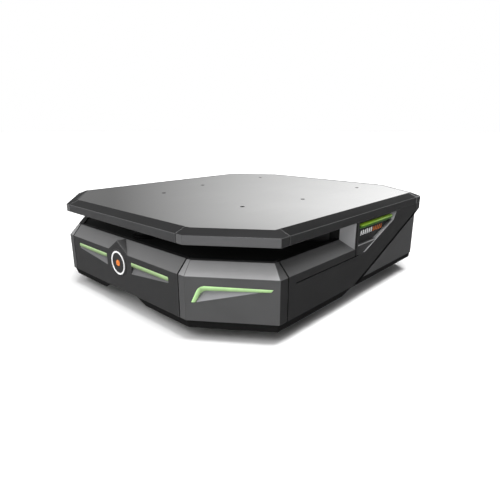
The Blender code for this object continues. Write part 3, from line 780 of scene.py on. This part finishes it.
def make_side(side, word):
    face = side_face(side)
    top = RIM_BOTTOM - 0.3 * MM
    start = SLOT_END + 0.5 * MM
    lift = GROOVE_WIDTH / 2
    stations = [on_side(SIDE_SEAM + SEAM, side), on_side(SLOT_END + 2 * MM, side)]
    panel = sweep(f"side_shell_{word}", body_section(), stations)
    tall = slab("tall", [
        (start, PANEL_BOTTOM), (groove_y(PANEL_BOTTOM - lift), PANEL_BOTTOM),
        (REAR_SEAM, groove_height(REAR_SEAM) + lift), (REAR_SEAM, top), (start, top)],
        face, -3.1 * MM, -0.1 * MM)
    tray = slab("tray", in_metres(
        (-41, 219), (191, 219), (174, 189.5), (8, 126.5), (-41, 126.5)),
        face, -POCKET_DEPTH - 3 * MM, -0.2 * MM)
    pocket = slab("pocket", in_metres(
        (-36, 217.5), (184, 217.5), (169, 193.5), (2.5, 131), (-36, 131)),
        face, -POCKET_DEPTH, 5 * MM)
    line = slab("line", rectangle(-303, -30, 128.6, 131.8), face, -LINE_SINK, MM)
    upright = slab("upright", rectangle(-48.5, -44.5, 131, 219), face, -LINE_SINK, MM)
    combine(panel, [tall, tray], "UNION")
    combine(panel, [pocket, line, upright])
    # Painted light and shade: a shaded grey for the side, a lit copy on the slope, a highlight on the rounded
    # edges and near-black shade on the floors of the sunk lines.
    dress(soften(panel, 0.7 * MM, edge=EDGE), CASING_SIDE_SHADE, stands_for=[f"side_panel_{word}"])
    paint(panel, SLOPE_SIDE_LIT, on_slope)
    sunk = HALF_X + OUTER - LINE_SINK
    paint(panel, SHADE_BLACK, lambda face: abs(abs(face.center.x) - sunk) < 0.35 * MM)
    make_slot_end(side, word, top)
    make_recess(face, word)
    make_marks(face, word)


def make_slot_end(side, word, top):
    """The slanted end of the scanner's slot, a painted highlight in light grey, and the black sheet that
    closes it
    further in: painted shade.
    """
    x_outer = side * (HALF_X + OUTER - 0.2 * MM)
    x_inner = side * (HALF_X + SLOPE_OFFSET)
    back = SLOT_END - SLOT_DEPTH
    cheek = slab(f"slot_end_{word}", [
        (x_outer, SLOT_END), (x_inner, back), (x_inner, back + 4 * MM),
        (x_outer - side * SHEET, SLOT_END + 3 * MM), (x_outer, SLOT_END + 0.4 * MM)],
        DECK_FACE, BELT - 3 * MM, top - 0.3 * MM)
    dress(soften(cheek, 0.5 * MM), LIT_FACET_GREY)
    near, far = x_inner - side * 0.3 * MM, x_inner - side * 20 * MM
    closer = slab(f"slot_closer_{word}", [
        (near, back), (far, back - 14 * MM), (far, back - 10 * MM), (near, back + 4 * MM)],
        DECK_FACE, SLOPE_TOP - 2 * MM, RIM_BOTTOM + 2 * MM)
    dress(closer, BLACK)


def make_recess(face, word):
    """The wall, ledge, end, trim and light bar of the recess in a side panel. The wall, end and trim are
    light grey as painted highlights, and the bar's lower half is painted shade.
    """
    wall = slab(f"recess_wall_{word}", in_metres(
        (2.5, 131), (169, 193.5), (184, 217.5), (182.5, 217.5), (168.2, 194.7), (2.1, 132.1)),
        face, -POCKET_DEPTH, -0.4 * MM)
    dress(soften(wall, 0.2 * MM), LIT_FACET_GREY)
    ledge = slab(f"recess_ledge_{word}", in_metres((-36, 131), (0, 131), (69.5, 157), (-36, 157)),
                 face, -POCKET_DEPTH - MM, -LEDGE_SINK)
    dress(soften(ledge, 0.6 * MM), CASING)
    tip = wedge(f"recess_end_{word}", in_metres((169, 193.5), (184, 217.5), (165.3, 217.3), (158.5, 196)),
                in_metres((169, 193.5), (184, 217.5)), RECESS_END_TILT, face, 2 * MM)
    dress(tip, LIT_FACET_GREY)
    trim = slab(f"recess_trim_{word}", in_metres((-36, 154.8), (63.5, 154.8), (70, 157.3), (-36, 157.3)),
                face, -LEDGE_SINK - MM, -LEDGE_SINK + 0.5 * MM)
    dress(soften(trim, 0.2 * MM), LIT_FACET_GREY)

    height, begin, end, radius = 204.5 * MM, -19 * MM, 163 * MM, 6.6 * MM
    length = end - begin
    bar = lathe(f"side_light_{word}", [
        (0, 0), (radius * 0.6, 0.6 * MM), (radius, 4 * MM), (radius, length - 4 * MM),
        (radius * 0.6, length - 0.6 * MM), (0, length)],
        face @ Matrix.Translation((begin, height, -7.5 * MM)) @ Matrix.Rotation(math.radians(90), 4, "Y"), 32)
    bar.data.shade_smooth()
    dress(bar, GREEN_BAR)
    # Painted shade: the bar's lower faces get a darker copy of its green.
    paint(bar, GREEN_BAR_SHADE, lambda face: face.normal.z < 0.1)


def make_marks(face, word):
    """A row of plain slanted bars on the recess floor, white and then orange."""
    pitch, width, slant = 11.5 * MM, 5 * MM, 3.5 * MM
    low, high = 177 * MM, 190 * MM
    at = -7 * MM
    for colour, look, number in (("white", WHITE_MARK, 6), ("orange", ORANGE_BARS, 5)):
        for i in range(number):
            bar = slab(f"{colour}_bar_{word}_{i}", [
                (at, low), (at + width, low), (at + width + slant, high), (at + slant, high)],
                face, -POCKET_DEPTH - 0.2 * MM, -POCKET_DEPTH + 0.8 * MM)
            dress(soften(bar, 0.2 * MM, 1), look)
            at += pitch


def make_rear_quarter(side, word):
    drop = GROOVE_WIDTH / 2
    lip = 0.3 * MM
    rear = REAR_SEAM - SEAM
    low = groove_y(QUARTER_BOTTOM + drop)
    end = groove_height(REAR_SEAM)
    quarter = slab(f"rear_quarter_shell_{word}", [
        (low, QUARTER_BOTTOM), (rear, QUARTER_BOTTOM), (rear, groove_height(rear) - drop)],
        side_face(side), -3 * MM, 0)
    dress(soften(quarter, 0.7 * MM), QUARTER_GREY, stands_for=[f"rear_quarter_{word}"])
    # A near-black backing in the groove: painted shade.
    backing = slab(f"groove_backing_{word}", [
        (groove_y(PANEL_BOTTOM - drop + lip), PANEL_BOTTOM),
        (groove_y(PANEL_BOTTOM + drop - lip), PANEL_BOTTOM),
        (REAR_SEAM, end - drop + lip), (REAR_SEAM, end + drop - lip)],
        side_face(side), -4 * MM, -0.25 * MM)
    dress(backing, SHADE_BLACK)


def make_linings():
    """Black strips behind the casing's seams: painted shade in the gaps."""
    inner = OUTER - SHEET - 0.4 * MM
    section = (
        (inner, PANEL_BOTTOM + 2 * MM), (inner, BELT - 1.6 * MM), (1.6 * MM, SLOPE_TOP - 4.4 * MM),
        (0, SLOPE_TOP - 5.6 * MM), (inner - 1.5 * MM, BELT - 3 * MM),
        (inner - 1.5 * MM, PANEL_BOTTOM + 2 * MM))
    half = 12 * MM
    for s, word in SIDES:
        at_front = [on_front(s * (FRONT_SEAM + step)) for step in (-half, half)]
        at_side = [on_side(SIDE_SEAM + step, s) for step in (-half, half)]
        for name, stations in (("front", at_front), ("side", at_side)):
            dress(sweep(f"{name}_seam_lining_{word}", section, stations), SHADE_BLACK)


def make_skirt():
    outer = OUTER - SHEET - 0.3 * MM
    skirt = sweep("skirt_black", (
        (outer, PANEL_BOTTOM + 16 * MM), (outer, QUARTER_BOTTOM - 3 * MM),
        (outer - 0.8 * MM, REAR_SKIRT_BOTTOM), (outer - 9.5 * MM, REAR_SKIRT_BOTTOM),
        (outer - 9.5 * MM, PANEL_BOTTOM + 16 * MM)), all_round(REAR_INSET), closed=True)
    foot = 21.1 * MM

    def slanted_end(side):
        return lambda offset, height: (side * (HALF_X + offset), groove_y(height))

    deep = sweep("deep", (
        (outer - 0.2 * MM, PANEL_BOTTOM + 10 * MM), (outer - 0.2 * MM, PANEL_BOTTOM - 0.5 * MM),
        (foot, SKIRT_BOTTOM), (foot - 3.5 * MM, SKIRT_BOTTOM), (foot - 3.5 * MM, PANEL_BOTTOM + 10 * MM),
    ), [slanted_end(-1), *reversed(front_corner(-1)), *front_corner(1), slanted_end(1)])
    notch = slab("notch", [
        (-97 * MM, SKIRT_BOTTOM - MM), (97 * MM, SKIRT_BOTTOM - MM), (65 * MM, PANEL_BOTTOM - 2.3 * MM),
        (-65 * MM, PANEL_BOTTOM - 2.3 * MM)], FRONT_FACE, -45 * MM, 5 * MM)
    combine(skirt, [deep], "UNION")
    combine(skirt, [notch])
    dress(soften(skirt, 0.6 * MM), BLACK, stands_for=["skirt"])


def make_rear_panel():
    inner = OUTER - SHEET
    body = OUTER - REAR_INSET
    edge = HALF_X + OUTER
    top = RIM_BOTTOM - 0.3 * MM
    section = (
        (OUTER, top), (OUTER, REAR_BAND_BOTTOM), (body, REAR_BODY_TOP), (body, QUARTER_BOTTOM),
        (body - SHEET, QUARTER_BOTTOM), (body - SHEET, REAR_BODY_TOP - 1.5 * MM),
        (inner, REAR_BAND_BOTTOM + 1.5 * MM), (inner, top))

    def at_side(side):
        def station(offset, height):
            x = edge - (0.5 * MM if offset > body else SHEET + 0.3 * MM)
            return side * x, -(CORNER_REACH + offset - CORNER_N.x * x) / CORNER_N.y
        return station

    panel = sweep("rear_shell", section, [
        at_side(1), at_turn(front_turn, 1, 1), at_turn(front_turn, -1, 1), at_side(-1)])
    far = side_turn(OUTER)[1]
    ears = [slab(f"ear_{side}", [
        (REAR_SEAM + SEAM, REAR_BODY_TOP), (far, REAR_BAND_BOTTOM), (far, top), (REAR_SEAM + SEAM, top)],
        side_face(side), -3.1 * MM, -0.1 * MM) for side in (1, -1)]
    combine(panel, ears, "UNION")
    holes = []
    for node in ("e_stop_button", "power_button"):
        low, high = corners(node)
        x, _, z = (low + high) / 2
        holes.append(rod(f"hole_{node}", (x, REAR_Y - 10 * MM, z), (x, REAR_Y + 10 * MM, z), BUTTON_BORE))
    combine(panel, holes + rear_vents())
    dress(soften(panel, 0.8 * MM), CASING, stands_for=["rear_panel"])


def make_badge():
    """A plain round badge on the front: a dark disc with a thin white ring and an orange centre."""
    centre = Matrix.Translation((0, FRONT_Y, BADGE_HEIGHT)) @ Matrix.Rotation(math.radians(90), 4, "X")
    disc = lathe("badge_disc", in_metres((0, -2), (36, -2), (36, 0.6), (35, 1.4), (0, 1.4)), centre, 64)
    ring = lathe("badge_ring", in_metres(
        (26.5, 1), (31, 1), (31, 2.2), (30.5, 2.6), (27, 2.6), (26.5, 2.2)), centre, 64)
    dot = lathe("badge_centre", in_metres((0, 1), (8, 1), (8, 2.2), (7.5, 2.6), (0, 2.6)), centre, 48)
    for piece, look in ((disc, CASING), (ring, WHITE_MARK), (dot, ORANGE_MARK)):
        dress(smooth(piece, 30), look)


# -------- wheels


def turning_frame(joint):
    axis = Vector(joint["axis"]).normalized()
    return Matrix.Translation(joint["pos_m"]) @ axis.to_track_quat("Z", "Y").to_matrix().to_4x4()


def make_roller(word, index, wheel):
    joint = JOINTS[f"roller_{word}_{index}"]
    axle, centre = Vector(wheel["pos_m"]), Vector(joint["pos_m"])
    circle = (centre - axle).length
    half, bore, cap = 36 * MM, 3.8 * MM, 2.2 * MM
    tilt = math.sin(math.radians(45))
    profile = [(bore, -half), (7.2 * MM, -half), (7.2 * MM, -half + cap)]
    # The barrel's surface keeps to the wheel's outer circle.
    for step in range(17):
        along = (half - cap) * (step / 8 - 1)
        radius = axle.z - math.hypot(circle, along * tilt)
        profile.append((radius - (0.6 * MM if step in (0, 16) else 0), along))
    profile += [(7.2 * MM, half - cap), (7.2 * MM, half), (bore, half)]
    turn = turning_frame(joint)
    roller = smooth(lathe(f"roller_shell_{word}_{index}", profile, turn, 40), 30)
    dress(roller, RUBBER, joint["child"], [f"roller_{word}_{index}"])
    back = turn.inverted()
    paint(roller, STEEL, lambda face: abs((back @ face.center).z) > half - cap * 0.8)


def make_wheel(side, word):
    """The hub with its two plates, pins, nuts and bolts, and the rollers."""
    body = f"wheel_{word}"
    wheel = JOINTS[body]
    centre = Vector(wheel["pos_m"])
    hub_low, hub_high = corners(f"wheel_hub_{word}")
    half = (hub_high.x if side > 0 else -hub_low.x) - abs(centre.x)
    reach_in = abs(centre.x) - (hub_low.x if side > 0 else -hub_high.x)
    outward = Matrix.Translation(centre) @ Matrix.Rotation(math.radians(90 * side), 4, "Y")
    thick, rim, edge = 4 * MM, 73.5 * MM, 0.5 * MM
    core = lathe(f"hub_core_{word}", [
        (0, -reach_in), (7.5 * MM, -reach_in), (8 * MM, -reach_in + MM), (8 * MM, -half),
        (27 * MM, -half), (27 * MM, 8 * MM - half), (41 * MM, 12 * MM - half), (41 * MM, half - 12 * MM),
        (27 * MM, half - 8 * MM), (27 * MM, half - MM), (26 * MM, half), (17 * MM, half),
        (16 * MM, half - 5 * MM), (0, half - 5 * MM)],
        outward, 48)
    pins, nuts, plates, cutters = [], [], [], []
    rollers = [JOINTS[f"roller_{word}_{i}"] for i in range(ROLLERS)]
    for face in (1, -1):
        far = half * face
        plates.append(lathe(f"plate_{word}_{face}", [
            (22 * MM, far), (rim - edge, far), (rim, far - edge * face), (rim, far - (thick - edge) * face),
            (rim - edge, far - thick * face), (22 * MM, far - thick * face)], outward, 96))
        for joint in rollers:
            start, axis = Vector(joint["pos_m"]), Vector(joint["axis"]).normalized()
            axis *= side * face
            end_point = start + axis * (half - thick / 2) / abs(axis.x)
            if face > 0:
                pins.append(rod("pin", start - (end_point - start), end_point, 3.2 * MM, 24))
            away = Vector((side * face, 0, 0))
            flat = end_point + away * thick / 2
            nuts.append(rod("nut", flat, flat + away * 2.6 * MM, 5 * MM, 6))
            nuts.append(rod("tip", flat, flat + away * 3.4 * MM, 2.6 * MM, 16))
            spoke = end_point - centre
            turn = math.atan2(spoke.z, spoke.y) + math.pi / 8
            for circle, radius in ((51 * MM, 8.5 * MM), (83 * MM, 14 * MM)):
                at = centre + Vector((side * far, circle * math.cos(turn), circle * math.sin(turn)))
                cutters.append(rod("cutter", at - away * 8 * MM, at + away * 4 * MM, radius, 32))
    disc = bundle(f"hub_plates_{word}", plates)
    combine(disc, [bundle(f"cutter_{word}", cutters)])
    bolts = []
    for i in range(6):
        turn = math.pi / 3 * i
        at = centre + Vector((side * (half - 5 * MM), 10.5 * MM * math.cos(turn), 10.5 * MM * math.sin(turn)))
        bolts.append(rod("bolt", at, at + Vector((side * 3 * MM, 0, 0)), 2.4 * MM, 16))
    dress(smooth(core), ALLOY, body, [f"wheel_hub_{word}"])
    dress(smooth(disc), ALLOY, body)
    for name, look, parts in (
            ("roller_pins", STEEL, pins), ("roller_nuts", DARK_STEEL, nuts),
            ("hub_bolts", DARK_STEEL, bolts)):
        dress(smooth(bundle(f"{name}_{word}", parts)), look, body)
    for index in range(ROLLERS):
        make_roller(word, index, wheel)


# -------- rear controls


def rearward(x, y, z):
    return Matrix.Translation((x, y, z)) @ Matrix.Rotation(math.radians(-90), 4, "X")


def make_button(node, look, dome):
    low, high = corners(node)
    x, _, z = (low + high) / 2
    radius = (high.x - low.x) / 2
    under = REAR_Y + (6 if dome else 4) * MM
    length = high.y - under
    crown = ((radius * 0.8, length - 1.6 * MM), (radius * 0.45, length - 0.3 * MM)) if dome else (
        (radius - 0.8 * MM, length), (radius * 0.55, length), (radius * 0.5, length - 0.5 * MM))
    cap = lathe(f"{node}_cap", [
        (0, low.y - under), (8 * MM, low.y - under), (8 * MM, 0), (radius - 1.2 * MM, 0), (radius, 1.2 * MM),
        (radius, length * 0.55), (radius - 0.4 * MM, length * 0.7), *crown,
        (0, length if dome else length - 0.5 * MM)], rearward(x, under, z), 64)
    dress(smooth(cap, 40), look, node, [node])
    ring = lathe(f"{node}_ring", [
        (8.6 * MM, -MM), (radius + 8 * MM, -MM), (radius + 8 * MM, 0.5 * MM), (radius + 7.6 * MM, 0.9 * MM),
        (9 * MM, 0.9 * MM), (8.6 * MM, 0.5 * MM)], rearward(x, REAR_Y, z), 64)
    dress(smooth(ring), YELLOW if dome else STEEL)


def rear_vents():
    """Openings for two groups of slanted vent slots."""
    slots = []
    for side in (1, -1):
        for i in range(5):
            u = side * VENT_X + (i - 2) * VENT_PITCH
            slots.append(slab("vent", in_metres(
                (u - 8, VENT_LOW), (u - 3.5, VENT_LOW), (u + 8, VENT_HIGH), (u + 3.5, VENT_HIGH)),
                REAR_FACE, -6 * MM, 2 * MM))
    return slots


def make_rear_details():
    # Black sheets behind the vent slots: painted shade in the openings.
    for u, word in ((VENT_X, "right"), (-VENT_X, "left")):
        outline = rectangle(u - 33, u + 33, VENT_LOW - 6, VENT_HIGH + 6)
        backing = slab(f"vent_backing_{word}", outline, REAR_FACE, -5 * MM, -3.4 * MM)
        dress(backing, BLACK)
    plate = slab("charge_plate", in_metres(
        (-62, 76), (62, 76), (68, 82), (68, 104), (62, 110), (-62, 110), (-68, 104), (-68, 82)),
        REAR_FACE, -MM, 1.8 * MM)
    dress(soften(plate, 0.6 * MM), BLACK)
    for u, word in ((34, "plus"), (-34, "minus")):
        bar = slab(f"charge_contact_{word}", rectangle(u - 22, u + 22, 87, 99), REAR_FACE, MM, 3 * MM)
        dress(soften(bar, MM, 3), COPPER)
    make_button("e_stop_button", STOP_RED, True)
    make_button("power_button", STEEL, False)


# -------- scanner and underside


def make_scanner():
    """The scanner behind the slot: a stepped foot, a dark glossy window and a cap."""
    low, high = corners("laser_scanner")
    foot, tall = (high.x - low.x) / 2, high.z - low.z
    radius = foot - 6 * MM
    shell = lathe("scanner_shell", [
        (0, 0), (foot - 0.6 * MM, 0), (foot - 0.3 * MM, 0.6 * MM), (foot - 0.3 * MM, 6 * MM),
        (radius, 9 * MM), (radius, tall * 0.36), (radius - 2 * MM, tall * 0.4),
        (radius - 2 * MM, tall * 0.74), (radius, tall * 0.78), (radius, tall - 2.5 * MM),
        (radius - 2.5 * MM, tall - 0.2 * MM), (0, tall - 0.2 * MM)],
        Matrix.Translation(((low.x + high.x) / 2, (low.y + high.y) / 2, low.z)), 64)
    # The shell's black is black plastic and also painted shade, so that it sinks into the slot's dark.
    dress(smooth(shell), BLACK, stands_for=["laser_scanner"])
    window_low, window_high = low.z + tall * 0.38, low.z + tall * 0.76
    paint(shell, GLOSS_BLACK,
          lambda face: abs(face.normal.z) < 0.9 and window_low < face.center.z < window_high)


def make_floor_bolts():
    """Low round-headed bolts on the underside of the floor plate."""
    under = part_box("base_frame")[0][2]
    half = (
        (0.395, -0.13), (0.395, 0), (0.395, 0.13), (0.245, -0.195), (0.245, 0.195), (0.245, 0.385),
        (0.09, -0.385))
    spots = [(side * x, y) for side in (1, -1) for x, y in half]
    profile = in_metres((0, 0), (5, 0), (4.6, -1.4), (3.4, -2.2), (2, -2.4), (1.9, -1), (0, -1))
    heads = [lathe("bolt", profile, Matrix.Translation((x, y, under)), 24) for x, y in spots]
    dress(smooth(bundle("floor_bolts", heads)), DARK_STEEL)


# -------- CAD nodes that stay


def repaint():
    # The control unit takes the corner panels' grey, which is painted lighter.
    looks = {
        "base_frame": STEEL, "front_axle": STEEL, "axle_pin": STEEL, "battery_pack": BATTERY,
        "control_unit": CASING_LIT, "scan_bay": BAY_BLACK,
    }
    for name, node in frame["nodes"].items():
        look = MOTOR if name.startswith("gearmotor") else looks.get(name)
        if look:
            node.data.materials.clear()
            node.data.materials.append(look)


# -------- studio


# The sky's radiance all round and below the horizon, in front and behind.
SURROUND = 0.12
BELOW_FRONT = 0.22
BELOW_BACK = 0.10
# Each lamp's direction, inner and outer angle in degrees, and strength.
LAMPS = (
    ((0.11, -0.45, 0.88), 14, 36, 3.0),
    ((-0.70, -0.45, 0.56), 8, 34, 1.4),
    ((-0.10, -0.97, 0.22), 10, 30, 1.4),
    ((0.12, 0.10, 0.98), 6, 18, 25.0),
)
# The band is a low light behind the robot. Azimuths are in degrees from straight behind, positive
# towards its right: the band grows over the first pair and fades over the second. Heights are in degrees
# too: it is weaker below its foot and ends over its top.
BAND_RISE, BAND_RISE_FROM = (-60, 0), 0.1
BAND_FADE, BAND_STRENGTHS = (22, 61), (1.60, 0.11)
BAND_FOOT, BAND_FOOT_FROM = (5, 15), 0.54
BAND_TOP = (11, 22)
FLOOR_ALBEDO = 0.74
CAMERA_PLACE = (0.9192, -0.9816, 0.4543)
CAMERA_AZIMUTH = 42.60
CAMERA_ELEVATION = 16.70
CAMERA_LENS = 29.73


def radians(angles):
    return [math.radians(angle) for angle in angles]


def sines(angles):
    return [math.sin(angle) for angle in radians(angles)]


class Sky(Tree):
    """A world built from soft lamps on a dim surround. The camera itself sees plain white."""

    def __init__(self, name):
        self.world = bpy.data.worlds.new(name)
        self.world.use_nodes = True
        super().__init__(self.world.node_tree)
        self.direction = self.nodes.new("ShaderNodeTexCoord").outputs["Generated"]
        split = self.nodes.new("ShaderNodeSeparateXYZ")
        self.links.new(self.direction, split.inputs[0])
        self.x, self.y, self.z = split.outputs
        self.total = None

    def add(self, light):
        self.total = light if self.total is None else self.math("ADD", self.total, light)

    def lamp(self, direction, inner, outer, strength):
        """A round soft lamp: full strength within the inner angle, gone at the outer one."""
        towards = self.dot(self.direction, Vector(direction).normalized())
        edges = [math.cos(angle) for angle in radians((outer, inner))]
        self.add(self.ease(towards, *edges, 0, strength))

    def finish(self):
        background = self.nodes["Background"]
        self.links.new(self.total, background.inputs["Strength"])
        plain = self.nodes.new("ShaderNodeBackground")
        seen = self.nodes.new("ShaderNodeLightPath").outputs["Is Camera Ray"]
        mix = self.nodes.new("ShaderNodeMixShader")
        for source, socket in ((seen, 0), (background.outputs[0], 1), (plain.outputs[0], 2)):
            self.links.new(source, mix.inputs[socket])
        for node in (background, plain):
            node.inputs["Color"].default_value = (1, 1, 1, 1)
        self.links.new(mix.outputs[0], self.nodes["World Output"].inputs["Surface"])
        bpy.context.scene.world = self.world


def make_sky():
    sky = Sky("studio")
    below = sky.ease(sky.y, -1, 1, BELOW_FRONT, BELOW_BACK)
    upper = sky.ease(sky.z, -0.02, 0.02, 0, 1)
    lower = sky.math("SUBTRACT", 1, upper)
    sky.add(sky.math("MULTIPLY", below, lower))
    sky.add(sky.math("MULTIPLY", upper, SURROUND))
    for lamp in LAMPS:
        sky.lamp(*lamp)
    around = sky.math("ARCTAN2", sky.math("MULTIPLY", sky.x, -1), sky.y)
    band = sky.ramp(around, *radians(BAND_FADE), *BAND_STRENGTHS)
    rise = sky.ease(around, *radians(BAND_RISE), BAND_RISE_FROM, 1)
    top = sky.ease(sky.z, *sines(BAND_TOP), 1, 0)
    foot = sky.ease(sky.z, *sines(BAND_FOOT), BAND_FOOT_FROM, 1)
    for factor in (rise, top, foot, upper):
        band = sky.math("MULTIPLY", band, factor)
    sky.add(band)
    sky.finish()


def make_studio():
    work = bmesh.new()
    bmesh.ops.create_grid(work, x_segments=1, y_segments=1, size=30)
    floor = place("floor", work)
    look = Look("studio_floor", [FLOOR_ALBEDO] * 3, 1.0)
    look.shader.inputs["Specular IOR Level"].default_value = 0
    floor.data.materials.append(look.material)
    floor.visible_glossy = False
    make_sky()

    data = bpy.data.cameras.new("camera")
    data.sensor_width = 36
    data.lens = CAMERA_LENS
    data.clip_end = 100
    camera = bpy.data.objects.new("camera", data)
    camera.location = CAMERA_PLACE
    azimuth, elevation = radians((CAMERA_AZIMUTH, CAMERA_ELEVATION))
    back = Vector((
        math.sin(azimuth) * math.cos(elevation), -math.cos(azimuth) * math.cos(elevation),
        math.sin(elevation)))
    camera.rotation_euler = (-back).to_track_quat("-Z", "Y").to_euler()
    bpy.context.scene.collection.objects.link(camera)
    bpy.context.scene.camera = camera
    bpy.context.scene.view_settings.view_transform = "Standard"


make_deck()
make_rim()
make_front_panel()
make_corner_panels()
for side, word in SIDES:
    make_side(side, word)
    make_rear_quarter(side, word)
make_rear_panel()
make_rear_details()
make_scanner()
make_floor_bolts()
for side, side_word in SIDES:
    for end_word in ("front", "rear"):
        make_wheel(side, f"{end_word}_{side_word}")
make_linings()
make_skirt()
make_badge()
repaint()
make_studio()
